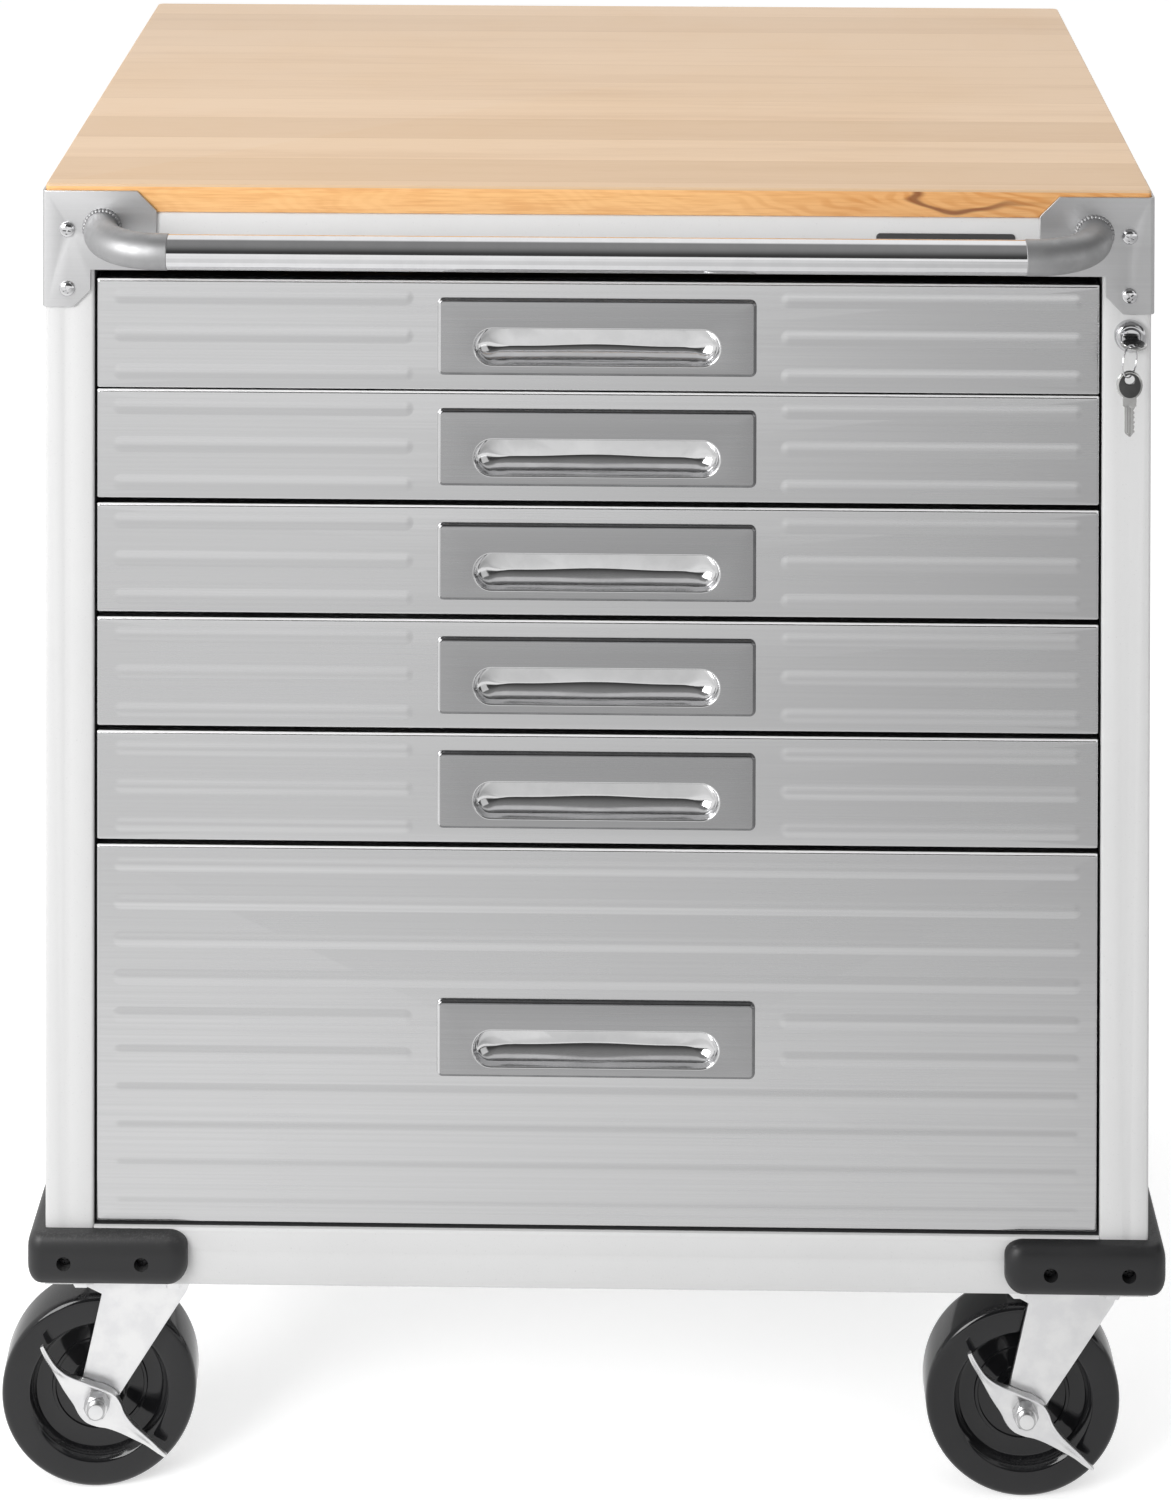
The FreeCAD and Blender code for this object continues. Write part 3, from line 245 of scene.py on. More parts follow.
SPECKLE = make_speckle()
BRUSHING = make_brushing()
HANDLING = make_handling()


# ------------------------------------------------------------------- finishes


@dataclass(frozen=True)
class Coat:
    """What every finish has: a name, its main colour and the one that breaks it up."""

    name: str
    colour: Triple
    second: Triple

    def lay(self, bench: Bench) -> dict[str, object]:
        """What goes into the main shader, by the input's name."""
        raise NotImplementedError

    def material(self) -> Material:
        """Builds the finish's material."""
        material = bpy.data.materials.new(self.name)
        material.use_nodes = True
        bench = Bench(material.node_tree)
        shader = bench.add("ShaderNodeBsdfPrincipled", self.lay(bench))
        bench.add("ShaderNodeOutputMaterial", {"Surface": shader.outputs[0]})
        return material


@dataclass(frozen=True)
class SprayedPaint(Coat):
    """Baked paint with fine darker droplets and a little dust."""

    speck_share: float = 0.35
    roughness: float = 0.42
    relief: float = 0.00012
    dust: float = 0.25
    smudge_share: float = 0.25
    smudge_tone: float = 0.93
    smudge_rough: float = 0.08
    relief_share: float = 0.35

    def lay(self, bench: Bench) -> dict[str, object]:
        """Droplets, smudges and dust."""
        speckle = bench.use(SPECKLE, Scale=1.0, Share=self.speck_share)
        handling = bench.use(HANDLING, Scale=1.0, Dust=self.dust)
        colour = bench.blend(speckle["Mask"], self.colour, self.second)
        soiled = tuple(part * self.smudge_tone for part in self.colour)
        colour = bench.blend(bench.times(handling["Smudge"], self.smudge_share), colour, soiled)
        rough = bench.times(handling["Smudge"], self.smudge_rough, self.roughness)
        return {"Base Color": colour, "Roughness": bench.maths("ADD", rough, handling["Dust"]),
                "Normal": bench.relief(speckle["Height"], self.relief_share, self.relief)}


@dataclass(frozen=True)
class BrushedSteel(Coat):
    """Stainless sheet with fine left-to-right brush lines."""

    roughness: float = 0.3
    relief: float = 0.00002
    streak_span: Pair = (0.34, 0.66)
    between_rough: float = 0.05
    streak_rough: float = -0.07
    smudge_rough: float = 0.04
    band_rough: float = 0.05
    relief_share: float = 0.5

    def lay(self, bench: Bench) -> dict[str, object]:
        """Brush lines and faint smudges."""
        lines = bench.use(BRUSHING, Scale=1.0)
        handling = bench.use(HANDLING, Scale=0.7, Dust=0.1)
        streak = bench.spread(lines["Streak"], *self.streak_span)
        rough = bench.times(streak, self.streak_rough, self.roughness + self.between_rough)
        rough = bench.times(handling["Smudge"], self.smudge_rough, rough)
        return {"Base Color": bench.blend(streak, self.second, self.colour),
                "Roughness": bench.times(lines["Band"], self.band_rough, rough), "Metallic": 1.0,
                "Normal": bench.relief(lines["Height"], self.relief_share, self.relief)}


@dataclass(frozen=True)
class PlatedMetal(Coat):
    """Bright plating, from mirror chrome to cloudy zinc."""

    roughness: float = 0.06
    relief: float = 0.0
    cloud_scale: float = 60.0
    cloud_span: Pair = (0.35, 0.65)
    cloud_rough: float = 0.25
    smudge_rough: float = 0.03
    relief_share: float = 0.4

    def lay(self, bench: Bench) -> dict[str, object]:
        """Soft clouds, smudges and dust."""
        handling = bench.use(HANDLING, Scale=3.0, Dust=0.08)
        mottle = bench.noise(bench.place(), self.cloud_scale, detail=4.0, rough=0.6)
        share = bench.spread(mottle, *self.cloud_span)
        rough = bench.times(handling["Smudge"], self.smudge_rough, self.roughness)
        rough = bench.times(share, self.roughness * self.cloud_rough, rough)
        inputs = {"Base Color": bench.blend(share, self.colour, self.second), "Metallic": 1.0,
                  "Roughness": bench.maths("ADD", rough, handling["Dust"])}
        if self.relief:
            inputs["Normal"] = bench.relief(mottle, self.relief_share, self.relief)
        return inputs


@dataclass(frozen=True)
class MouldedPlastic(Coat):
    """Moulded polymer with a fine grained skin, and a painted sheen on faces that look up."""

    roughness: float = 0.35
    relief: float = 0.00006
    grain: float = 700.0
    smudge: float = 0.1
    # painted highlight: how far faces that look up are made paler
    painted_sheen: float = 0.0
    sheen_facing: Pair = (0.1, 0.8)
    # painted shade: how far the dust and the painted sheen fade towards the right
    right_shade: float = 0.0
    body_half: float = 0.3
    smudge_pale: float = 0.15
    dust_rough: float = 4.0
    relief_share: float = 0.3

    def lay(self, bench: Bench) -> dict[str, object]:
        """Grain, dust, and a painted sheen on faces that look up; dust and sheen fade towards the right as painted
        shade.
        """
        handling = bench.use(HANDLING, Scale=2.0, Dust=0.5)
        pale = bench.times(handling["Smudge"], self.smudge_pale, handling["Dust"])
        # painted sheen: faces that look up are made paler
        pale = bench.times(bench.spread(bench.upward(), *self.sheen_facing), self.painted_sheen, pale)
        across = bench.split(bench.where())[0]
        # painted shade: less of the dust and the painted sheen towards the right
        left = bench.spread(across, -self.body_half, self.body_half, 1.0, 1.0 - self.right_shade)
        rough = bench.times(handling["Smudge"], self.smudge, self.roughness)
        skin = bench.noise(bench.place(), self.grain)
        return {"Base Color": bench.blend(bench.times(pale, left), self.colour, self.second),
                "Roughness": bench.times(handling["Dust"], self.smudge * self.dust_rough, rough),
                "Normal": bench.relief(skin, self.relief_share, self.relief)}


@dataclass(frozen=True)
class StavedWood(Coat):
    """Lacquered hardwood glued up from pale and honey staves that run left to right."""

    figure: Triple
    stave: float = 0.046
    stave_shift: Pair = (7.0, 3.0)
    grain: Triple = (2.2, 46.0, 46.0)
    grain_span: Pair = (0.45, 0.8)
    grain_share: float = 0.35
    pores: Triple = (26.0, 900.0, 900.0)
    pore_span: Pair = (0.55, 0.75)
    pore_share: float = 0.16
    glue_line: float = 0.492
    glue_share: float = 0.4
    roughness: float = 0.38
    smudge_rough: float = 0.06
    lacquer: float = 0.18
    lacquer_rough: float = 0.2
    relief: float = 0.00005
    relief_share: float = 0.25

    def lay(self, bench: Bench) -> dict[str, object]:
        """Staves of their own tone, their grain and pores, and the glue lines between them."""
        where = bench.where()
        row = bench.maths("DIVIDE", bench.maths("ADD", bench.split(where)[1], 1.0), self.stave)
        stave = bench.add("ShaderNodeTexWhiteNoise", noise_dimensions="1D")
        bench.feed(stave.inputs["W"], bench.maths("FLOOR", row))
        tone = stave.outputs["Value"]
        along, upright = self.stave_shift
        shift = bench.add("ShaderNodeCombineXYZ", {"X": bench.times(tone, along),
                                                   "Z": bench.times(tone, upright)})
        moved = bench.add("ShaderNodeVectorMath", {0: where, 1: shift.outputs[0]}, operation="ADD")
        flow = bench.noise(bench.place(self.grain, moved.outputs[0]), 1.0, detail=5.0, rough=0.62)
        pore = bench.noise(bench.place(self.pores, moved.outputs[0]), 1.0)
        off_middle = bench.maths("ABSOLUTE", bench.maths("SUBTRACT", bench.maths("FRACT", row), 0.5))
        body = bench.blend(bench.spread(tone, 0.0, 1.0, smooth=False), self.colour, self.second)
        for mask, share in ((bench.spread(flow, *self.grain_span), self.grain_share),
                            (bench.spread(pore, *self.pore_span), self.pore_share),
                            (bench.maths("GREATER_THAN", off_middle, self.glue_line), self.glue_share)):
            body = bench.blend(bench.times(mask, share), body, self.figure)
        handling = bench.use(HANDLING, Scale=0.8, Dust=0.1)
        return {"Base Color": body, "Coat Weight": self.lacquer, "Coat Roughness": self.lacquer_rough,
                "Roughness": bench.times(handling["Smudge"], self.smudge_rough, self.roughness),
                "Normal": bench.relief(pore, self.relief_share, self.relief)}


@dataclass(frozen=True)
class FiguredEdge(Coat):
    """Oiled edge of the hardwood top, honey at the left and wildly figured towards the right."""

    vein: Triple
    sway: Triple = (5.0, 5.0, 16.0)
    sway_share: float = 0.16
    slant: float = 0.55
    year_rings: float = 620.0
    ring_share: Pair = (0.6, 0.1)
    patches: Triple = (13.0, 13.0, 50.0)
    patch_span: Pair = (0.42, 0.6)
    fibres: Triple = (30.0, 60.0, 700.0)
    fibre_share: float = 0.45
    wild_from: Pair = (0.06, 0.17)
    wild_share: float = 0.3
    vein_at: float = 0.52
    vein_width: Pair = (0.022, 0.004)
    vein_to: Pair = (0.3, 0.24)
    vein_share: float = 0.8
    roughness: float = 0.42
    smudge_rough: float = 0.06
    relief: float = 0.00004
    relief_share: float = 0.2

    def lay(self, bench: Bench) -> dict[str, object]:
        """Slanting year rings, fibres, and dark veins where the figure is wild."""
        across, _, upright = bench.split(bench.where())
        slow = bench.noise(bench.place(self.sway), 1.0, detail=3.0, rough=0.55)
        flow = bench.times(slow, self.sway_share, bench.times(across, self.slant, upright))
        rings = bench.maths("SINE", bench.times(flow, self.year_rings))
        fibres = bench.noise(bench.place(self.fibres), 1.0, detail=3.0, rough=0.6)
        wild = bench.spread(across, *self.wild_from)
        patches = bench.noise(bench.place(self.patches), 1.0, detail=3.0, rough=0.6)
        patches = bench.spread(patches, *self.patch_span)
        strong = bench.times(bench.times(wild, patches), *self.ring_share)
        body = bench.blend(bench.times(bench.spread(rings, -0.6, 1.0), strong), self.colour, self.second)
        for mask, share in ((wild, self.wild_share), (bench.spread(fibres, 0.4, 0.7), self.fibre_share)):
            body = bench.blend(bench.times(mask, share), body, self.second)
        ridge = bench.maths("ABSOLUTE", bench.maths("SUBTRACT", slow, self.vein_at))
        vein = bench.times(bench.spread(ridge, *self.vein_width), wild)
        vein = bench.times(vein, bench.spread(across, *self.vein_to))
        handling = bench.use(HANDLING, Scale=0.8, Dust=0.1)
        return {"Base Color": bench.blend(bench.times(vein, self.vein_share), body, self.vein),
                "Roughness": bench.times(handling["Smudge"], self.smudge_rough, self.roughness),
                "Normal": bench.relief(fibres, self.relief_share, self.relief)}


# --------------------------------------------------------------------- studio


def bring_in(name: str, data: object) -> Object:
    """Makes an object of its data and brings it into the scene."""
    item = bpy.data.objects.new(name, data)
    bpy.context.scene.collection.objects.link(item)
    return item


@dataclass
class Camera:
    """A view camera with a risen front, so that upright lines stay upright."""

    place: Triple = (0.03197, -2.1975, 0.62085)
    turn: float = math.radians(0.84)
    dip: float = math.radians(0.49)
    roll: float = math.radians(0.112)
    frame_size: Pair = (1171.0, 1500.0)
    reach: float = 3074.2
    axis_point: Pair = (604.0, -753.2)
    sensor: float = 36.0
    far: float = 100.0

    def build(self) -> None:
        """Makes the camera and its slanted stand."""
        ahead = Vector((-math.sin(self.turn) * math.cos(self.dip),
                        math.cos(self.turn) * math.cos(self.dip), -math.sin(self.dip)))
        right = Vector((math.cos(self.turn), math.sin(self.turn), 0.0))
        up = Vector((-math.sin(self.turn) * math.sin(self.dip),
                     math.cos(self.turn) * math.sin(self.dip), math.cos(self.dip)))
        across = right * math.cos(self.roll) + up * math.sin(self.roll)
        upward = up * math.cos(self.roll) - right * math.sin(self.roll)
        width, height = self.frame_size
        side = (width / 2 - self.axis_point[0]) / self.reach
        fall = (height / 2 - self.axis_point[1]) / self.reach
        middle = ahead + across * side - upward * fall
        slant = middle.length
        stand = Matrix((across, upward, -middle / slant)).transposed().to_4x4()
        stand.translation = self.place
        data = bpy.data.cameras.new("view_camera")
        data.sensor_fit = "AUTO"
        data.sensor_width = self.sensor
        data.lens = self.reach * slant / height * self.sensor
        data.clip_end = self.far
        camera = bring_in("view_camera", data)
        camera.parent = bring_in("tripod", None)
        camera.matrix_parent_inverse = stand
        bpy.context.scene.camera = camera
        log.info("camera with a %.1f mm lens", data.lens)


@dataclass(frozen=True)
class Lamp:
    """A soft lamp that faces the chest; metal shows it unless mirrored is False."""

    name: str
    place: Triple
    size: Pair
    power: float
    mirrored: bool = True
    aim: Triple = (0.0, 0.0, -0.4)

    def build(self) -> None:
        """Hangs the lamp."""
        data = bpy.data.lights.new(self.name, "AREA")
        data.shape = "RECTANGLE"
        data.size, data.size_y = self.size
        data.energy = self.power
        lamp = bring_in(self.name, data)
        lamp.rotation_mode = "QUATERNION"
        lamp.rotation_quaternion = (Vector(self.aim) - Vector(self.place)).to_track_quat("-Z", "Y")
        lamp.location = self.place
        lamp.visible_glossy = self.mirrored


@dataclass
class Studio:
    """Pale floor, soft lamps, and the tones that metal mirrors from the room."""

    lamps: tuple[Lamp, ...] = (
        Lamp("key_lamp", (-2.0, -2.1, 0.9), (1.6, 1.6), 62.0),
        Lamp("fill_lamp", (2.2, -1.8, 0.8), (1.6, 1.6), 5.0),
        Lamp("top_lamp", (0.0, 0.2, 2.0), (2.2, 1.8), 16.0, False))
    air: float = 0.5
    horizon: Pair = (0.09, 0.15)
    front_from: Pair = (0.42, 0.14)
    front_left: Pair = (-0.9, -0.55)
    front_dim: Pair = (0.95, 0.74)
    right_from: Pair = (0.3, 0.8)
    right_dim: float = 0.8
    floor_level: float = -0.871
    floor_half: float = 6.0
    floor_paint: float = 0.9
    floor_lift: float = 0.5
    floor_gloss: float = 0.9
    near_tone: float = 1.0
    band_tone: float = 0.785
    far_tone: float = 0.98
    band_start: Pair = (-0.82, -0.89)
    band_end: Pair = (-1.5, -2.7)
    shade: Pair = (-0.3, 0.95)
    shade_depth: float = 0.55

    def world(self) -> None:
        """Plain pale surroundings: white to the eye, and to metal a bright room whose front is dim."""
        world = bpy.data.worlds.new("studio_air")
        world.use_nodes = True
        bpy.context.scene.world = world
        bench = Bench(world.node_tree)
        path = bench.add("ShaderNodeLightPath").outputs
        across, along, upward = bench.split(bench.where("Generated"))
        dim = bench.spread(upward, 0.3, 1.0, *self.front_dim)
        ahead = bench.times(bench.spread(along, *self.front_from), bench.spread(across, *self.front_left))
        right = bench.times(bench.spread(across, *self.right_from), self.right_dim)
        shade = bench.maths("MAXIMUM", bench.times(ahead, dim), right)
        shade = bench.times(shade, bench.spread(upward, *self.horizon))
        seen = bench.maths("MAXIMUM", path["Is Camera Ray"], path["Is Transmission Ray"])
        glossy = bench.times(path["Is Glossy Ray"], bench.maths("SUBTRACT", 1.0, shade))
        lit = bench.maths("MAXIMUM", path["Is Glossy Ray"], seen)
        soft = bench.times(bench.maths("SUBTRACT", 1.0, lit), self.air)
        strength = bench.maths("ADD", bench.maths("MAXIMUM", seen, glossy), soft)
        air = bench.add("ShaderNodeBackground", {"Color": (1.0, 1.0, 1.0), "Strength": strength})
        bench.add("ShaderNodeOutputWorld", {"Surface": air.outputs[0]})

    def floor_tone(self, bench: Bench) -> NodeSocket:
        """The floor's brightness in metal: a dim band before the chest and a fall to the right.

        Args:
            bench: the floor material's bench.

        Returns:
            The tone.
        """
        across, along, _ = bench.split(bench.where())
        enter = bench.spread(along, *self.band_start)
        leave = bench.spread(along, *self.band_end)
        far = bench.spread(leave, 0.0, 1.0, self.band_tone, self.far_tone, smooth=False)
        tone = bench.times(bench.maths("SUBTRACT", far, self.near_tone), enter, self.near_tone)
        return bench.times(tone, bench.spread(across, *self.shade, 1.0, self.shade_depth, smooth=False))

    def floor(self) -> None:
        """A wide pale floor that keeps the chest's shadow."""
        material = bpy.data.materials.new("studio_floor")
        material.use_nodes = True
        bench = Bench(material.node_tree)
        path = bench.add("ShaderNodeLightPath").outputs
        mirror = bench.maths("MAXIMUM", path["Is Glossy Ray"], path["Is Transmission Ray"])
        paint = bench.add("ShaderNodeBsdfDiffuse", {"Color": (self.floor_paint,) * 3}).outputs[0]
        tone = self.floor_tone(bench)
        glow = bench.add("ShaderNodeEmission", {"Color": (1.0, 1.0, 1.0), "Strength": tone})
        lift = bench.add("ShaderNodeEmission", {"Strength": self.floor_lift})
        seen = bench.add("ShaderNodeAddShader", {0: paint, 1: lift.outputs[0]})
        by_eye = bench.add("ShaderNodeMixShader", {0: path["Is Camera Ray"], 1: paint, 2: seen.outputs[0]})
        choice = bench.add("ShaderNodeMixShader", {0: bench.times(mirror, self.floor_gloss),
                                                   1: by_eye.outputs[0], 2: glow.outputs[0]})
        bench.add("ShaderNodeOutputMaterial", {"Surface": choice.outputs[0]})
        mesh = bpy.data.meshes.new("studio_floor")
        corners = [(x * self.floor_half, y * self.floor_half, self.floor_level)
                   for x, y in ((-1, -1), (1, -1), (1, 1), (-1, 1))]
        mesh.from_pydata(corners, [], [(0, 1, 2, 3)])
        mesh.materials.append(material)
        bring_in("studio_floor", mesh)

    def build(self) -> None:
        """Sets up the whole studio."""
        bpy.context.scene.view_settings.view_transform = "Standard"
        self.world()
        self.floor()
        for lamp in self.lamps:
            lamp.build()


# ------------------------------------------------------------------- dressing


class Finish(Enum):
    """Finishes by the record's slot that they dress."""

    CASE = "case_paint"
    WOOD = "worktop_wood"
    FRONT = "front_steel"
    PULL = "pull_steel"
    BOX_AND_SHADE = "box_paint"
    BRACKET = "bracket_steel"
    ELBOW = "elbow_steel"
    TUBE = "tube_chrome"
    SCREW = "screw_chrome"
    BUMPER = "bumper_plastic"
    LOCK = "lock_chrome"
    KEY = "key_steel"
    SLIDE = "slide_zinc"
    CASTER = "caster_zinc"
    WHEEL = "wheel_black"
    WOOD_EDGE = "worktop_wood_edge"
    PLATE = "nameplate_enamel"
    BOW = "key_bow"
    LIP_HIGHLIGHT = "front_lip"
    CUP = "pull_cup"
    RIM_SHADE = "pull_rim"


RECIPES = {
    Finish.CASE: SprayedPaint("silver_paint", (0.70, 0.70, 0.70), (0.57, 0.57, 0.57), 0.3, 0.42),
    Finish.WOOD: StavedWood("staved_hardwood", (0.76, 0.54, 0.345), (0.655, 0.445, 0.265),
                            (0.50, 0.29, 0.14)),
    Finish.FRONT: BrushedSteel("brushed_fronts", (0.665, 0.665, 0.67), (0.64, 0.64, 0.645), 0.19, 0.000008),
    Finish.PULL: BrushedSteel("satin_pulls", (0.43, 0.43, 0.435), (0.41, 0.41, 0.415), 0.24),
    # dark paint of the drawer boxes, also laid on the case's inner faces as painted shade
    Finish.BOX_AND_SHADE: SprayedPaint("drawer_paint_and_painted_shade", (0.05, 0.05, 0.052), (0.09, 0.09, 0.09), 0.2, 0.5),
    Finish.BRACKET: BrushedSteel("satin_brackets", (0.63, 0.63, 0.635), (0.61, 0.61, 0.615), 0.42, 0.000006),
    Finish.ELBOW: PlatedMetal("satin_elbows", (0.46, 0.46, 0.465), (0.43, 0.43, 0.435), 0.46),
    Finish.TUBE: PlatedMetal("chrome_tube", (0.80, 0.80, 0.81), (0.77, 0.77, 0.78), 0.05),
    Finish.SCREW: PlatedMetal("chrome_screws", (0.75, 0.75, 0.76), (0.70, 0.70, 0.71), 0.08),
    # the bumpers carry a painted sheen on faces that look up, fading towards the right as painted shade
    Finish.BUMPER: MouldedPlastic("bumper_plastic", (0.012, 0.012, 0.013), (0.085, 0.085, 0.085), 0.42,
                                  painted_sheen=0.4, right_shade=0.9),
    Finish.LOCK: PlatedMetal("lock_chrome", (0.62, 0.62, 0.63), (0.56, 0.56, 0.57), 0.05),
    Finish.KEY: PlatedMetal("key_nickel", (0.62, 0.62, 0.61), (0.52, 0.52, 0.51), 0.14),
    Finish.SLIDE: PlatedMetal("slide_zinc", (0.58, 0.58, 0.585), (0.50, 0.50, 0.505), 0.28),
    Finish.CASTER: PlatedMetal("caster_zinc", (0.94, 0.94, 0.94), (0.87, 0.87, 0.88), 0.3, 0.00004),
    Finish.WOOD_EDGE: FiguredEdge("figured_edge", (0.95, 0.55, 0.23), (0.70, 0.29, 0.075),
                                  (0.20, 0.05, 0.012)),
    # near-white paint on the top fold of the drawer fronts, a painted highlight
    Finish.LIP_HIGHLIGHT: SprayedPaint("painted_highlight_lip", (0.93, 0.93, 0.93), (0.86, 0.86, 0.86), 0.3, 0.35),
    Finish.CUP: PlatedMetal("polished_cup", (0.74, 0.74, 0.745), (0.70, 0.70, 0.705), 0.09),
    # dark finish of the pulls' rolled edge, a painted shade
    Finish.RIM_SHADE: PlatedMetal("pull_rim", (0.26, 0.26, 0.265), (0.22, 0.22, 0.225), 0.14),
    Finish.BOW: PlatedMetal("dark_key_bow", (0.13, 0.13, 0.13), (0.09, 0.09, 0.09), 0.16),
    Finish.PLATE: MouldedPlastic("nameplate_enamel", (0.05, 0.05, 0.052), (0.09, 0.09, 0.09), 0.4),
    Finish.WHEEL: MouldedPlastic("wheel_polymer", (0.008, 0.008, 0.009), (0.03, 0.03, 0.03), 0.09, 0.000003,
                                 smudge=0.03),
}
MATERIALS = {finish: recipe.material() for finish, recipe in RECIPES.items()}


def dress_frame() -> None:
    """Gives every CAD node the finish of its own slot."""
    slots = {part["node"]: part["material_slot"] for part in frame["record"]["subparts"]}
    for name, item in frame["nodes"].items():
        item.data.materials.clear()
        item.data.materials.append(MATERIALS[Finish(slots[name])])
    log.info("dressed %d nodes", len(frame["nodes"]))


@dataclass(frozen=True)
class Card:
    """What is said of one piece.

    The node is given where the piece stands for one, and the slot where it isn't that of the first
    finish; nothing in this script reads the slot. Edges flatter than smooth, in degrees, are shaded smooth.
    """

    name: str
    finishes: tuple[Finish, ...]
    body: str = "cabinet"
    node: str | None = None
    slot: Finish | None = None
    smooth: float = 40.0

    def make(self, mesh: Mesh) -> None:
        """Makes the piece of its mesh, which lies in place already."""
        for finish in self.finishes:
            mesh.materials.append(MATERIALS[finish])
        mesh.shade_smooth()
        mesh.set_sharp_from_angle(angle=math.radians(self.smooth))
        piece = bring_in(self.name, mesh)
        if self.node:
            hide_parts(self.node)
        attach(piece, self.body)
        log.info("%s: %d faces", self.name, len(mesh.polygons))


# ------------------------------------------------------------------ mesh work


def circle(count: int) -> list[Pair]:
    """Cosine and sine of even steps round a full turn."""
    return [(math.cos(2 * math.pi * i / count), math.sin(2 * math.pi * i / count)) for i in range(count)]


def quarter(parts: int) -> list[Pair]:
    """Even steps along a quarter turn, as what its cosine and its sine lack of 1."""
    turns = [math.radians(90 * step / parts) for step in range(parts + 1)]
    return [(1 - math.cos(turn), 1 - math.sin(turn)) for turn in turns]


def quarter_loop(half_x: float, half_z: float, radius: float, steps: int) -> list[Pair]:
    """Corners of a rectangle with rounded corners, anticlockwise from the lower right.

    Args:
        half_x: half its width.
        half_z: half its height.
        radius: the corners' radius.
        steps: parts in each corner's arc.

    Returns:
        Points as (x, z) about the middle.
    """
    points = []
    for number, (side_x, side_z) in enumerate(((1, -1), (1, 1), (-1, 1), (-1, -1))):
        for step in range(steps + 1):
            angle = math.radians(-90 + 90 * number + 90 * step / steps)
            points.append((side_x * (half_x - radius) + radius * math.cos(angle),
                           side_z * (half_z - radius) + radius * math.sin(angle)))
    return points


def long_loop(half_x: float, half_z: float, radius: float, steps: int, parts: int) -> list[Pair]:
    """A rounded rectangle whose upper and lower sides are divided too.

    Args:
        half_x: half its width.
        half_z: half its height.
        radius: the corners' radius.
        steps: parts in each corner's arc.
        parts: points added along the upper and the lower side.

    Returns:
        Points as (x, z) about the middle.
    """
    corners = quarter_loop(half_x, half_z, radius, steps)
    half = len(corners) // 2
    points = []
    for side, following in ((corners[:half], corners[half]), (corners[half:], corners[0])):
        points += side
        for part in range(1, parts + 1):
            share = part / (parts + 1)
            points.append((side[-1][0] + (following[0] - side[-1][0]) * share,
                           side[-1][1] + (following[1] - side[-1][1]) * share))
    return points


def upright(loop: Sequence[Pair], x: float, y: float, z: float) -> Ring:
    """Stands a loop up, facing the front, about the point x, y, z."""
    return [Vector((x + across, y, z + rise)) for across, rise in loop]


def face_of(node: str) -> tuple[Vector, Vector, float, float, float]:
    """A node's box, half its width, half its height, and the height of its middle."""
    low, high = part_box(node)
    return low, high, (high.x - low.x) / 2, (high.z - low.z) / 2, (low.z + high.z) / 2


def worked(blank: Object, *tools: Object) -> Mesh:
    """A blank's mesh with its modifiers worked in; the blank and the tools are then taken away."""
    bpy.context.view_layer.update()
    mesh = bpy.data.meshes.new_from_object(blank.evaluated_get(bpy.context.evaluated_depsgraph_get()))
    for item in (blank, *tools):
        bpy.data.objects.remove(item)
    return mesh


class Shape:
    """A piece being worked before it becomes an object."""

    def __init__(self) -> None:
        """Starts with nothing."""
        self.work = bmesh.new()

    def skin(self, rings: Sequence[Ring], finish: int = 0, caps: tuple[bool, bool] = (True, True)) -> None:
        """Covers a row of rings with faces.

        Args:
            rings: rings of points, all of the same count.
            finish: which of the piece's finishes the faces take.
            caps: whether the first and the last ring are closed over.
        """
        rows = [[self.work.verts.new(point) for point in ring] for ring in rings]
        count = len(rows[0])
        faces = []
        for near, far in zip(rows, rows[1:]):
            for i in range(count):
                j = (i + 1) % count
                faces.append(self.work.faces.new((near[i], near[j], far[j], far[i])))
        for wanted, row in zip(caps, (rows[0], rows[-1])):
            if wanted:
                faces.append(self.work.faces.new(row))
        for face in faces:
            face.material_index = finish

    def turned(self, profile: Sequence[Pair], base: Vector, axis: Vector, sides: int, unit: float = MM
               ) -> None:
        """Turns a profile round an axis, and closes its ends unless it runs back to its start.

        Args:
            profile: (radius, distance from base) pairs.
            base: where the distances start.
            axis: the axis's direction.
            sides: faces in a turn.
            unit: the profile's unit in metres.
        """
        turn = axis.to_track_quat("Z", "Y")
        rings = []
        for radius, distance in profile:
            rings.append([base + turn @ Vector((radius * unit * x, radius * unit * y, distance * unit))
                          for x, y in circle(sides)])
        self.skin(rings, caps=(profile[0] != profile[-1],) * 2)

    def mirrored(self, axis: int) -> None:
        """Adds the mirror image: left to right across axis 0, front to rear across axis 1."""
        parts = list(self.work.verts) + list(self.work.edges) + list(self.work.faces)
        for item in bmesh.ops.duplicate(self.work, geom=parts)["geom"]:
            if isinstance(item, bmesh.types.BMVert):
                item.co[axis] = -item.co[axis]

    def closed(self, name: str) -> Mesh:
        """Closes the work into a mesh."""
        bmesh.ops.remove_doubles(self.work, verts=self.work.verts, dist=2e-7)
        bmesh.ops.recalc_face_normals(self.work, faces=self.work.faces)
        mesh = bpy.data.meshes.new(name)
        self.work.to_mesh(mesh)
        self.work.free()
        return mesh

    def finished(self, card: Card) -> None:
        """Closes the work and makes the piece."""
        card.make(self.closed(card.name))


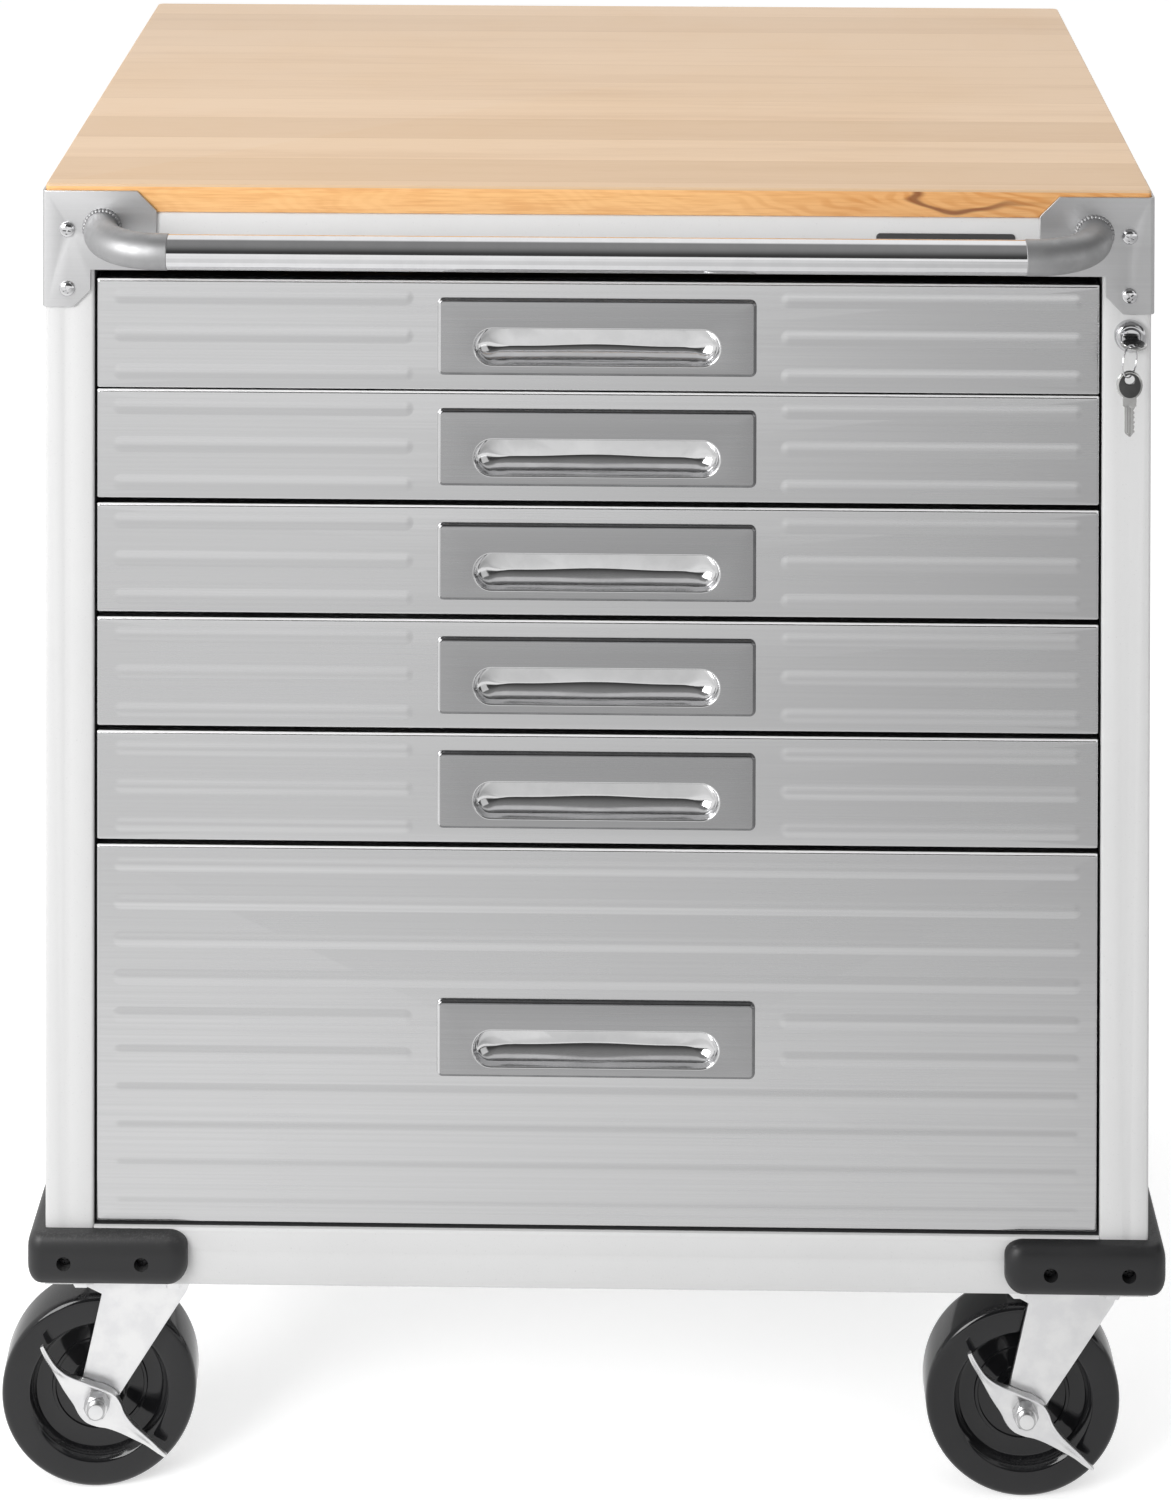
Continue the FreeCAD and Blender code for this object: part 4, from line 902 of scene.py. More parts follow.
class Jig(Group):
    """A Geometry Nodes tree that sets one small thing at every point of a row."""

    def __init__(self, name: str, **sizes: float) -> None:
        """Starts the tree.

        Args:
            name: the tree's name.
            sizes: its inputs and their usual values in metres.
        """
        super().__init__(name, "GeometryNodeTree")
        self.socket("Points", "Geometry")
        for label, usual in sizes.items():
            self.socket(label, usual=usual)
        self.socket("Finish", "Material")
        self.socket("Pieces", "Geometry", "OUTPUT")
        self.given = self.add("NodeGroupInput").outputs

    def xyz(self, *values: object) -> NodeSocket:
        """Three numbers as one vector."""
        return self.add("ShaderNodeCombineXYZ", dict(enumerate(values))).outputs[0]

    def set_out(self, pattern: NodeSocket, seed: int) -> None:
        """Sets the pattern at every point, turned to its aim and by chance about it, and ends the tree.

        Args:
            pattern: the small thing, its base at the origin and its face along z.
            seed: the chance turn's seed.
        """
        aim = self.add("GeometryNodeInputNamedAttribute", {"Name": "aim"}, data_type="FLOAT_VECTOR")
        align = self.add("FunctionNodeAlignRotationToVector", {"Vector": aim.outputs["Attribute"]}, axis="Z")
        chance = self.add("FunctionNodeRandomValue", {"Seed": seed, 3: 2 * math.pi}, data_type="FLOAT")
        about = self.add("FunctionNodeAxisAngleToRotation", {"Angle": chance.outputs[1]})
        rotate = self.add("FunctionNodeRotateRotation", {0: align.outputs[0], 1: about.outputs[0]},
                          rotation_space="LOCAL")
        inputs = {"Points": self.given["Points"], "Instance": pattern, "Rotation": rotate.outputs[0]}
        places = self.add("GeometryNodeInstanceOnPoints", inputs)
        real = self.add("GeometryNodeRealizeInstances", {0: places.outputs[0]})
        dress = self.add("GeometryNodeSetMaterial", {"Geometry": real.outputs[0],
                                                     "Material": self.given["Finish"]})
        self.add("NodeGroupOutput", {0: dress.outputs[0]})

    def run(self, card: Card, seats: Sequence[tuple[Vector, Vector]], **sizes: float) -> None:
        """Sets the small thing at every seat, and makes one plain piece of all of them.

        Args:
            card: what is said of the piece.
            seats: (place, aim) pairs.
            sizes: sizes by input name.
        """
        mesh = bpy.data.meshes.new(card.name + "_seats")
        mesh.from_pydata([place for place, _ in seats], [], [])
        aims = mesh.attributes.new("aim", "FLOAT_VECTOR", "POINT")
        aims.data.foreach_set("vector", [value for _, aim in seats for value in aim])
        holder = bring_in(card.name + "_seats", mesh)
        modifier = holder.modifiers.new("jig", "NODES")
        modifier.node_group = self.tree
        for label, value in {**sizes, "Finish": MATERIALS[card.finishes[0]]}.items():
            modifier[self.names[label]] = value
        plain = worked(holder)
        plain.name = card.name
        plain.materials.clear()
        card.make(plain)


def screw_jig() -> Jig:
    """Domed screw heads with a cross recess."""
    jig = Jig("screw_heads", Radius=5.0 * MM, Height=2.4 * MM, Cross=5.2 * MM, Blade=1.1 * MM,
              Depth=1.2 * MM)
    size = jig.given
    ball = jig.add("GeometryNodeMeshUVSphere", {"Segments": 28, "Rings": 14, "Radius": 1.0})
    x, y, z = jig.split(jig.add("GeometryNodeInputPosition").outputs[0])
    high = jig.maths("POWER", jig.maths("MAXIMUM", z, 0.0), 0.8)
    dome = jig.xyz(jig.times(x, size["Radius"]), jig.times(y, size["Radius"]),
                   jig.times(high, size["Height"]))
    flat = jig.add("GeometryNodeSetPosition", {"Geometry": ball.outputs["Mesh"], "Position": dome})
    cut = jig.add("GeometryNodeMeshBoolean", {"Mesh 1": flat.outputs[0]}, operation="DIFFERENCE",
                  solver="EXACT")
    deep = jig.times(size["Depth"], 2.0)
    lift = jig.xyz(0.0, 0.0, size["Height"])
    for spans in ((size["Cross"], size["Blade"]), (size["Blade"], size["Cross"])):
        blade = jig.add("GeometryNodeMeshCube", {"Size": jig.xyz(*spans, deep)})
        lifted = jig.add("GeometryNodeTransform", {"Geometry": blade.outputs["Mesh"], "Translation": lift})
        jig.feed(cut.inputs["Mesh 2"], lifted.outputs[0])
    jig.set_out(cut.outputs[0], 7)
    return jig


def bead_jig() -> Jig:
    """Small flattened balls, for weld beads and for the balls of the slides."""
    jig = Jig("small_balls", Width=3.0 * MM, Height=2.0 * MM)
    width, height = jig.given["Width"], jig.given["Height"]
    ball = jig.add("GeometryNodeMeshIcoSphere", {"Subdivisions": 2, "Radius": 0.5})
    shaped = jig.add("GeometryNodeTransform", {"Geometry": ball.outputs["Mesh"],
                                               "Scale": jig.xyz(width, width, height)})
    jig.set_out(shaped.outputs[0], 3)
    return jig


SCREWS = screw_jig()
BEADS = bead_jig()


# --------------------------------------------------------------- the sub-assemblies


@dataclass
class PerDrawer:
    """What every drawer has one of, counted from the top."""

    count: int = 6

    def build_one(self, number: int) -> None:
        """Makes the one of the drawer of this number."""
        raise NotImplementedError

    def build(self) -> None:
        """Makes them all."""
        for number in range(1, self.count + 1):
            self.build_one(number)


@dataclass
class DrawerFronts(PerDrawer):
    """Folded steel fronts with soft raised beads, and a painted highlight on the top fold."""

    fold: float = 1.7 * MM
    fold_parts: int = 5
    corner_arc: int = 3
    bead_width: float = 11.4 * MM
    bead_height: float = 0.5 * MM
    bead_steps: int = 9
    bead_sunk: float = 0.05
    bead_arc: int = 6
    bead_pitch: float = 24.5 * MM
    end_margin: float = 10.0 * MM
    edge_margin: float = 7.5 * MM
    to_pull: float = 15.0 * MM
    gauge: float = 1.0 * MM
    lip: float = 9.0 * MM
    window: Pair = (81.0 * MM, 13.5 * MM)
    window_drop: float = 6.0 * MM

    def bead(self, shape: Shape, start: float, end: float, face: float, z: float) -> None:
        """Adds one raised bead with round ends.

        Args:
            shape: the front being worked.
            start: where the bead starts.
            end: where it ends.
            face: the front's face.
            z: the bead's middle.
        """
        half = self.bead_width / 2
        rings = []
        for step in range(self.bead_steps):
            share = step / (self.bead_steps - 0.5)
            radius = half * (1 - share)
            loop = quarter_loop((end - start) / 2 - half * share, radius, radius, self.bead_arc)
            rise = (1 - math.cos(math.pi * share)) / 2 - (self.bead_sunk if step == 0 else 0.0)
            rings.append(upright(loop, (start + end) / 2, face - rise * self.bead_height, z))
        shape.skin(rings)

    def build_one(self, number: int) -> None:
        """Makes one front.

        Args:
            number: the drawer, counted from the top.
        """
        low, high, half_x, half_z, middle = face_of(f"drawer_{number}_front")
        *_, pull_x, pull_z, _ = face_of(f"drawer_{number}_pull")
        face = low.y + self.bead_height
        shape = Shape()
        rows = [(self.lip, high.y), (0.0, high.y), (0.0, face + self.fold)]
        for inset, depth in quarter(self.fold_parts)[1:]:
            rows.append((self.fold * inset, face + self.fold * depth))
        rings = []
        for inset, y in rows:
            loop = quarter_loop(half_x - inset, half_z - inset, self.gauge, self.corner_arc)
            rings.append(upright(loop, 0.0, y, middle))
        window = quarter_loop(*self.window, self.gauge, self.corner_arc)
        rings += [upright(window, 0.0, y, middle - self.window_drop) for y in (face, face + self.gauge)]
        shape.skin(rings, caps=(False, False))
        beads = int((2 * half_z - 2 * self.edge_margin) // self.bead_pitch) + 1
        outer = half_x - self.end_margin
        inner = pull_x + self.to_pull
        clear = pull_z + self.bead_width / 2
        for row in range(beads):
            offset = (row - (beads - 1) / 2) * self.bead_pitch
            halves = ((inner, outer), (-outer, -inner))
            for start, end in halves if abs(offset) < clear else ((-outer, outer),):
                self.bead(shape, start, end, face, middle + offset)
        # painted highlight: faces of the top fold take the near-white lip paint
        for side in shape.work.faces:
            centre = side.calc_center_median()
            if centre.z > high.z - self.fold * 0.5 and centre.y < face + self.fold:
                side.material_index = 1
        shape.finished(Card(f"front_{number}", (Finish.FRONT, Finish.LIP_HIGHLIGHT), f"drawer_{number}",
                            f"drawer_{number}_front", smooth=30.0))


@dataclass
class DrawerPulls(PerDrawer):
    """Satin plates whose long slot runs into a polished finger cup; the rolled edge is dark as painted shade and
    bright at the left as a painted highlight.

    Each row of the cup is how far it is in at its ends, how far in at its edges, and how deep, in
    millimetres.
    """

    raise_by: float = 2.5 * MM
    corner: float = 4.0 * MM
    least_corner: float = 0.5 * MM
    edge: float = 2.1 * MM
    edge_parts: int = 6
    land: float = 0.4 * MM
    slot: Pair = (78.7 * MM, 11.4 * MM)
    slot_drop: float = 6.0 * MM
    lip: float = 1.1 * MM
    lip_parts: int = 7
    arc: int = 9
    parts: int = 20
    wave: float = 1.3 * MM
    wave_half: float = 46.0 * MM
    floor_share: float = 0.8
    cup_rows: tuple[Triple, ...] = (
        (0.0, 0.0, 2.5), (0.3, 0.22, 3.4), (1.2, 0.67, 4.8), (2.6, 1.33, 6.4), (4.5, 2.1, 7.9),
        (7.0, 2.9, 9.1), (10.5, 3.67, 9.9), (15.0, 4.2, 10.3), (20.0, 4.55, 10.4))

    def slot_loop(self, end_in: float, edge_in: float) -> list[Pair]:
        """A loop inside the slot, or outside it where both are negative."""
        radius = self.slot[1] - edge_in
        return long_loop(self.slot[0] - end_in, radius, radius, self.arc, self.parts)

    def build_one(self, number: int) -> None:
        """Makes one pull.

        Args:
            number: the drawer, counted from the top.
        """
        low, _, half_x, half_z, middle = face_of(f"drawer_{number}_pull")
        face = low.y + self.raise_by
        slot_z = middle - self.slot_drop
        shape = Shape()

        def plate_ring(inset: float, y: float) -> Ring:
            """A ring round the plate."""
            corner = max(self.corner - inset, self.least_corner)
            loop = long_loop(half_x - inset, half_z - inset, corner, self.arc, self.parts)
            return upright(loop, 0.0, y, middle)

        def cup_ring(end_in: float, edge_in: float, depth: float) -> Ring:
            """A ring of the cup, whose ends slope gently and whose floor bows up in the middle."""
            deep = depth / self.cup_rows[-1][2]
            lift = self.floor_share * edge_in * MM
            ring = []
            for x, z in self.slot_loop(end_in * MM, edge_in * MM):
                bow = 0.5 + 0.5 * math.cos(math.pi * min(abs(x) / self.wave_half, 1.0))
                ring.append(Vector((x, face + depth * MM, slot_z + z + lift + self.wave * bow * deep)))
            return ring

        plate = [plate_ring(0.0, face + self.land), plate_ring(0.0, low.y + self.edge)]
        for inset, depth in quarter(self.edge_parts)[1:]:
            plate.append(plate_ring(self.edge * inset, low.y + self.edge * depth))
        # painted shade: the plate's rolled edge takes the dark rim finish
        shape.skin(plate, 2, (False, False))
        # painted highlight: the rolled edge's left side takes the bright polished cup finish
        for side in shape.work.faces:
            if side.calc_center_median().x < low.x + self.edge:
                side.material_index = 1
        lip = []
        for depth, outset in quarter(self.lip_parts):
            loop = self.slot_loop(-self.lip * outset, -self.lip * outset)
            lip.append(upright(loop, 0.0, low.y + self.lip * depth, slot_z))
        shape.skin([plate[-1], lip[0]], 0, (False, False))
        shape.skin(lip, 1, (False, False))
        shape.skin([lip[-1]] + [cup_ring(*row) for row in self.cup_rows], 1, (False, True))
        shape.finished(Card(f"pull_{number}", (Finish.PULL, Finish.CUP, Finish.RIM_SHADE), f"drawer_{number}",
                            f"drawer_{number}_pull"))


@dataclass
class PushHandle:
    """Chrome tube between two satin elbows that are welded to their brackets."""

    sides: int = 56
    steps: int = 20
    sleeve: float = 5.4 * MM
    lip: float = 0.4 * MM
    fit_step: float = 0.45 * MM
    tube_overlap: float = 0.4 * MM
    weld_width: float = 3.4 * MM
    weld_height: float = 2.4 * MM
    weld_count: int = 30
    weld_out: float = 0.5 * MM
    weld_stand: float = 0.3 * MM
    weld_lean: float = 0.8

    def build(self) -> None:
        """Makes the tube, the elbows and their welds."""
        _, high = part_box("handle_elbows")
        tube_low, tube_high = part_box("handle_tube")
        reach = tube_high.x
        axis_z = (tube_low.z + tube_high.z) / 2
        axis_y = (tube_low.y + tube_high.y) / 2
        bend = high.y - axis_y
        radius = (tube_high.y - tube_low.y) / 2
        inner = radius - self.fit_step
        centre = Vector((reach, high.y, axis_z))
        rows = [(0.0, inner - self.lip, self.sleeve), (0.0, radius - self.lip, self.sleeve)]
        rows += [(0.0, radius, self.sleeve - self.lip)]
        rows += [(step / self.steps, radius, 0.0) for step in range(self.steps + 1)]
        rings = []
        for share, size, run in rows:
            turn = math.radians(90) * share
            out = Vector((math.sin(turn), -math.cos(turn), 0.0))
            spine = centre + out * bend - Vector((run, 0.0, 0.0))
            rings.append([spine + (out * x + UP * z) * size for x, z in circle(self.sides)])
        elbows = Shape()
        elbows.skin(rings)
        elbows.mirrored(0)
        elbows.finished(Card("elbows", (Finish.ELBOW,), node="handle_elbows"))
        tube = Shape()
        end = reach + self.tube_overlap
        tube.turned([(inner, -end), (inner, end)], Vector((0, axis_y, axis_z)), RIGHTWARDS, self.sides, 1.0)
        tube.finished(Card("tube", (Finish.TUBE,), node="handle_tube"))
        seats = []
        for side in (-1, 1):
            root = Vector((side * (reach + bend), high.y - self.weld_stand, axis_z))
            for x, z in circle(self.weld_count):
                aim = Vector((x, 0.0, z)) - Vector((0, self.weld_lean, 0))
                seats.append((root + Vector((x, 0.0, z)) * (radius + self.weld_out), aim.normalized()))
        BEADS.run(Card("elbow_welds", (Finish.ELBOW,), smooth=60.0), seats, Width=self.weld_width,
                  Height=self.weld_height)


@dataclass
class Bumpers:
    """Moulded corner bumpers with soft edges, rounded ends and sunk screw seats."""

    leg: float = 92.5 * MM
    edge_out: float = 6.0 * MM
    edge_up: float = 11.0 * MM
    most_out: float = 0.98
    most_up: float = 0.96
    end_round: float = 12.0 * MM
    end_drop: float = 0.8
    end_depth: float = 7.0 * MM
    end_steps: int = 9
    corner_steps: int = 12
    edge_steps: int = 7
    seat_radius: float = 4.6 * MM
    seat_sides: int = 28
    lowered: float = 3.9 * MM
    floor: float = 4.0 * MM
    insets: Pair = (14.0 * MM, 64.0 * MM)
    lift: float = 15.5 * MM

    def build(self) -> None:
        """Makes the four bumpers as one piece."""
        low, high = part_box("corner_bumpers")
        panel_low, panel_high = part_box("side_panel_right")
        side = panel_high.x
        face = panel_low.y
        stand = high.x - side
        middle = (low.z + high.z - self.lowered) / 2
        half = (high.z - low.z - self.lowered) / 2
        shape = Shape()
        rings = []
        for foot, out, drop in self.spine(side, face):
            section = self.section(stand, half, drop)
            rings.append([Vector((foot.x, foot.y, middle + up)) + out * across for across, up in section])
        shape.skin(rings)
        blank = bring_in("bumper_blank", shape.closed("bumper_blank"))
        drills = Shape()
        z = low.z + self.lift
        for inset in self.insets:
            for place, out in (((side - inset, face - self.floor, z), (0, -1, 0)),
                               ((side + self.floor, face + inset, z), (1, 0, 0))):
                seat = [(self.seat_radius, 0.0), (self.seat_radius, stand)]
                drills.turned(seat, Vector(place), Vector(out), self.seat_sides, 1.0)
        cutter = bring_in("bumper_drills", drills.closed("bumper_drills"))
        cut = blank.modifiers.new("seats", "BOOLEAN")
        cut.operation = "DIFFERENCE"
        cut.solver = "EXACT"
        cut.object = cutter
        whole = Shape()
        whole.work.from_mesh(worked(blank, cutter))
        whole.mirrored(0)
        whole.mirrored(1)
        whole.finished(Card("bumpers", (Finish.BUMPER,), node="corner_bumpers", smooth=32.0))

    def spine(self, side: float, face: float) -> list[tuple[Vector, Vector, float]]:
        """Feet of the sections along the body's corner.

        Args:
            side: the body's side.
            face: the body's front.

        Returns:
            (foot, outward direction, share of the end's round that is still to rise) for each
            section.
        """
        legs = [(self.leg - self.end_round * inset, drop) for inset, drop in quarter(self.end_steps - 1)]
        feet = [(Vector((side - along, face, 0)), FORWARDS, drop) for along, drop in legs]
        for step in range(self.corner_steps + 1):
            angle = math.radians(90 * step / self.corner_steps)
            feet.append((Vector((side, face, 0)), Vector((math.sin(angle), -math.cos(angle), 0)), 0.0))
        for along, drop in reversed(legs):
            feet.append((Vector((side, face + along, 0)), RIGHTWARDS, drop))
        return feet

    def section(self, stand: float, half: float, drop: float) -> list[Pair]:
        """The bumper's section as (distance off the body, height from its middle).

        Args:
            stand: how far it stands off the body.
            half: half its height.
            drop: 0 along the leg, 1 at its very end.

        Returns:
            The section's corners.
        """
        depth = stand - self.end_depth * drop
        top = half - self.end_round * self.end_drop * drop
        out = min(self.edge_out, depth * self.most_out)
        up = min(self.edge_up, top * self.most_up)
        points = [(0.0, -top), (0.0, top)]
        for corner, start, sign in ((top, 90, 1), (-top, 0, -1)):
            for step in range(self.edge_steps):
                angle = math.radians(start - 90 * step / (self.edge_steps - 1))
                points.append((depth - out + out * math.cos(angle),
                               corner - sign * up + up * math.sin(angle)))
        return points


@dataclass
class TrimScrews:
    """Domed screws of the brackets and the bumpers."""

    radius: float = 5.0 * MM
    dark_radius: float = 4.5 * MM
    height: float = 2.4 * MM
    bracket_inset: float = 14.5 * MM
    bracket_drops: Pair = (25.0 * MM, 63.0 * MM)
    smooth: float = 38.0

    def build(self) -> None:
        """Makes the bright bracket screws and the darker bumper screws."""
        panel_low, panel_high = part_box("side_panel_right")
        plate_low, plate_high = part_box("handle_brackets")
        bumper_low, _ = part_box("corner_bumpers")
        bumpers = Bumpers()
        side = panel_high.x
        face = panel_low.y
        bright = []
        for drop in self.bracket_drops:
            for sign in (-1, 1):
                place = Vector((sign * (side - self.bracket_inset), plate_low.y, plate_high.z - drop))
                bright.append((place, FORWARDS))
        dark = []
        z = bumper_low.z + bumpers.lift
        for inset in bumpers.insets:
            for sign in (-1, 1):
                for end, out in ((face - bumpers.floor, -1), (-face + bumpers.floor, 1)):
                    dark.append((Vector((sign * (side - inset), end, z)), Vector((0, out, 0))))
                for end in (face + inset, -face - inset):
                    dark.append((Vector((sign * (side + bumpers.floor), end, z)), Vector((sign, 0, 0))))
        SCREWS.run(Card("bracket_screws", (Finish.SCREW,), node="trim_screws", smooth=self.smooth), bright,
                   Radius=self.radius, Height=self.height)
        SCREWS.run(Card("bumper_screws", (Finish.BUMPER,), slot=Finish.SCREW, smooth=self.smooth), dark,
                   Radius=self.dark_radius, Height=self.height)


@dataclass
class Worktop:
    """Glued-up hardwood top with eased edges."""

    ease: float = 1.6 * MM
    foot_ease: float = 0.8 * MM
    corner: float = 3.0 * MM
    corner_arc: int = 6
    steps: int = 5

    def build(self) -> None:
        """Makes the top."""
        low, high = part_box("worktop")
        half_x = (high.x - low.x) / 2
        half_y = (high.y - low.y) / 2
        centre = (low + high) / 2

        def ring(inset: float, z: float) -> Ring:
            """A ring round the slab."""
            loop = quarter_loop(half_x - inset, half_y - inset, self.corner, self.corner_arc)
            return [Vector((centre.x + x, centre.y + y, z)) for x, y in loop]

        shape = Shape()
        shape.skin([ring(self.foot_ease, low.z), ring(0.0, low.z + self.foot_ease),
                    ring(0.0, high.z - self.ease)], 1, (True, False))
        crown = [ring(self.ease * inset, high.z - self.ease * drop) for inset, drop in quarter(self.steps)]
        shape.skin(crown, 0, (False, True))
        shape.finished(Card("hardwood_top", (Finish.WOOD, Finish.WOOD_EDGE), node="worktop", smooth=50.0))


@dataclass
class Nameplate:
    """Blank dark plate on the top rail, behind the push handle."""

    left: float = 179.0 * MM
    right: float = 268.0 * MM
    head: float = -28.4 * MM
    height: float = 17.0 * MM
    gauge: float = 0.8 * MM
    corner: float = 2.4 * MM
    corner_arc: int = 6
    edge_rows: tuple[Pair, ...] = ((0.0, 0.0), (0.0, 0.5), (0.15, 0.85), (0.5, 1.0))

    def build(self) -> None:
        """Makes the plate."""
        rail_low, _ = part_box("top_rail")
        rings = []
        for inset, rise in self.edge_rows:
            loop = quarter_loop((self.right - self.left) / 2 - inset * MM, self.height / 2 - inset * MM,
                                self.corner, self.corner_arc)
            rings.append(upright(loop, (self.left + self.right) / 2, rail_low.y - rise * self.gauge,
                                 self.head - self.height / 2))
        shape = Shape()
        shape.skin(rings)
        shape.finished(Card("blank_nameplate", (Finish.PLATE,), slot=Finish.BUMPER))


@dataclass
class LockSet:
    """Domed cam lock with its key, split ring and spare key; all sizes are in millimetres."""

    bezel_radius: float = 10.25
    bezel_rise: float = 5.5
    bezel_side: float = 1.6
    bezel_parts: int = 10
    face_radius: float = 6.9
    plug_radius: float = 6.0
    plug_proud: float = 0.6
    bore_gap: float = 0.08
    bore_ease: float = 0.35
    keyway: Pair = (4.0, 1.5)
    keyway_depth: float = 3.0
    bow_width: float = 16.5
    bow_length: float = 18.5
    bow_rows: tuple[Pair, ...] = ((1.4, 0.0), (1.2, 0.35), (0.5, 0.45))
    hole_radius: float = 3.2
    hole_edge: float = 2.4
    hole_ease: float = 0.3
    thickness: float = 2.2
    neck: float = 1.2
    blade_start: float = 2.0
    blade_length: float = 22.0
    blade_width: float = 6.3
    blade_steps: int = 44
    tip: float = 2.8
    tip_width: float = 0.12
    shoulder: float = 1.1
    shoulder_end: float = -3.0
    cuts_start: float = -4.0
    cut_depth: float = 0.75
    cut_waves: Pair = (2.1, 5.3)
    blade_share: float = 0.86
    groove_share: float = 0.35
    ring_radius: float = 10.0
    ring_wire: float = 0.34
    ring_turn: float = 35.0
    ring_steps: int = 96
    ring_cross: float = 9.0
    wire_sides: int = 8
    barrel_radius: float = 8.5
    barrel_length: float = 27.0
    nut_radius: float = 11.5
    nut_span: Pair = (-1.2, -5.2)
    plug_length: float = 29.8
    cam: float = 2.0
    cam_reach: float = 7.0
    cam_half: float = 4.5
    cam_angle: float = -26.0
    cam_sides: int = 24
    sides: int = 48

    def bezel(self, lock: Vector) -> Shape:
        """The polished dome round the plug, with its barrel and nut.

        Args:
            lock: the lock's axis at the post's face.

        Returns:
            The dome.
        """
        profile = [(self.bezel_radius, 0.0)]
        span = self.bezel_radius - self.face_radius
        for inset, drop in quarter(self.bezel_parts):
            rise = self.bezel_side + (self.bezel_rise - self.bezel_side) * (1 - drop)
            profile.append((self.bezel_radius - span * inset, rise))
        bore = self.plug_radius + self.bore_gap
        profile += [(bore + self.bore_ease, self.bezel_rise), (bore, self.bezel_rise - self.bore_ease),
                    (bore, -self.barrel_length), (self.barrel_radius, -self.barrel_length),
                    (self.barrel_radius, 0.0), profile[0]]
        near, far = self.nut_span
        nut = [(self.barrel_radius, near), (self.nut_radius, near), (self.nut_radius, far),
               (self.barrel_radius, far), (self.barrel_radius, near)]
        shape = Shape()
        shape.turned(profile, lock, FORWARDS, self.sides)
        shape.turned(nut, lock, FORWARDS, 6)
        return shape

    def oval(self, lock: Vector, across: float, high: float, distance: float) -> Ring:
        """A ring round the lock's axis, flat on top and below where it is wider than high."""
        return [lock + Vector((across * x, -distance, max(-high, min(high, across * z)))) * MM
                for x, z in circle(self.sides)]

    def plug(self, lock: Vector) -> Shape:
        """The plug's face with the groove of its keyway, and the cam at its other end.

        Args:
            lock: the lock's axis at the post's face.

        Returns:
            The plug.
        """
        front = self.bezel_rise + self.plug_proud
        rings = []
        for inset, distance in ((0.0, -self.plug_length), (0.0, front - 0.4), (0.12, front - 0.12),
                                (0.4, front)):
            rings.append(self.oval(lock, self.plug_radius - inset, self.plug_radius - inset, distance))
        rings += [self.oval(lock, *self.keyway, y) for y in (front, front - self.keyway_depth)]
        shape = Shape()
        shape.skin(rings)
        lean = math.radians(self.cam_angle)
        cam = []
        for depth in (self.plug_length - self.cam, self.plug_length):
            ring = []
            for c, s in circle(self.cam_sides):
                x = (self.cam_reach if c > 0 else 0.0) + self.cam_half * c
                z = self.cam_half * s
                ring.append(lock + Vector((x * math.cos(lean) - z * math.sin(lean), depth,
                                           x * math.sin(lean) + z * math.cos(lean))) * MM)
            cam.append(ring)
        shape.skin(cam)
        return shape

    def blade(self, place: Placer, along: float, cuts: bool) -> Ring:
        """One section of a key's blade.

        Args:
            place: puts a point given as (across, through, along), in millimetres, into the chest.
            along: where the section lies.
            cuts: whether the blade shows its cuts.

        Returns:
            The section's ring.
        """
        tip = min(1.0, (along + self.blade_length) / self.tip + self.tip_width)
        wide = self.blade_width / 2 + (self.shoulder if along > self.shoulder_end else 0.0)
        notch = 0.0
        if cuts and along < self.cuts_start:
            coarse, fine = (math.sin(along * wave) for wave in self.cut_waves)
            notch = self.cut_depth * (1 + coarse) * (1 + 0.5 * fine) / 1.5
        right = (wide - notch) * tip
        left = wide * tip
        deep = self.thickness / 2 * self.blade_share
        groove = self.thickness / 2 * self.groove_share if along < self.shoulder_end else deep
        section = [(-left, -deep), (-left * 0.45, -deep), (-left * 0.3, -groove), (0.0, -groove),
                   (left * 0.15, -deep), (right, -deep), (right, deep), (left * 0.3, deep),
                   (left * 0.15, groove), (-left * 0.2, groove), (-left * 0.35, deep), (-left, deep)]
        return [place(x, y, along) for x, y in section]

    def key(self, place: Placer, cuts: bool) -> Shape:
        """A key with a plain oval bow.

        Args:
            place: puts a point given as (across, through, along), in millimetres, into the chest.
            cuts: whether the blade shows its cuts.

        Returns:
            The key.
        """
        half = self.thickness / 2
        middle = self.neck + self.bow_length / 2
        hole = self.neck + self.bow_length - self.hole_edge - self.hole_radius

        def bow(inset: float, through: float) -> Ring:
            """A ring round the bow's edge."""
            wide, long = self.bow_width / 2 - inset, self.bow_length / 2 - inset
            return [place(wide * x, through, middle + long * z) for x, z in circle(self.sides)]

        def eye(outset: float, through: float) -> Ring:
            """A ring round the bow's hole."""
            radius = self.hole_radius + outset
            return [place(radius * x, through, hole + radius * z) for x, z in circle(self.sides)]

        ease = self.hole_ease
        rings = [eye(0.0, -half + ease), eye(ease, -half)]
        rings += [bow(inset, -half + depth) for inset, depth in self.bow_rows]
        rings += [bow(0.0, -half * 0.3), bow(0.0, half * 0.3)]
        rings += [bow(inset, half - depth) for inset, depth in reversed(self.bow_rows)]
        rings += [eye(ease, half), eye(0.0, half - ease), eye(0.0, -half + ease)]
        shape = Shape()
        for first, last, finish in ((0, 2, 0), (2, 9, 1), (9, 12, 0)):
            shape.skin(rings[first:last + 1], finish, (False, False))
        start = self.neck + self.blade_start
        steps = self.blade_steps
        stations = [start - (self.blade_length + start) * i / steps for i in range(steps + 1)]
        shape.skin([self.blade(place, along, cuts) for along in stations], 1)
        return shape

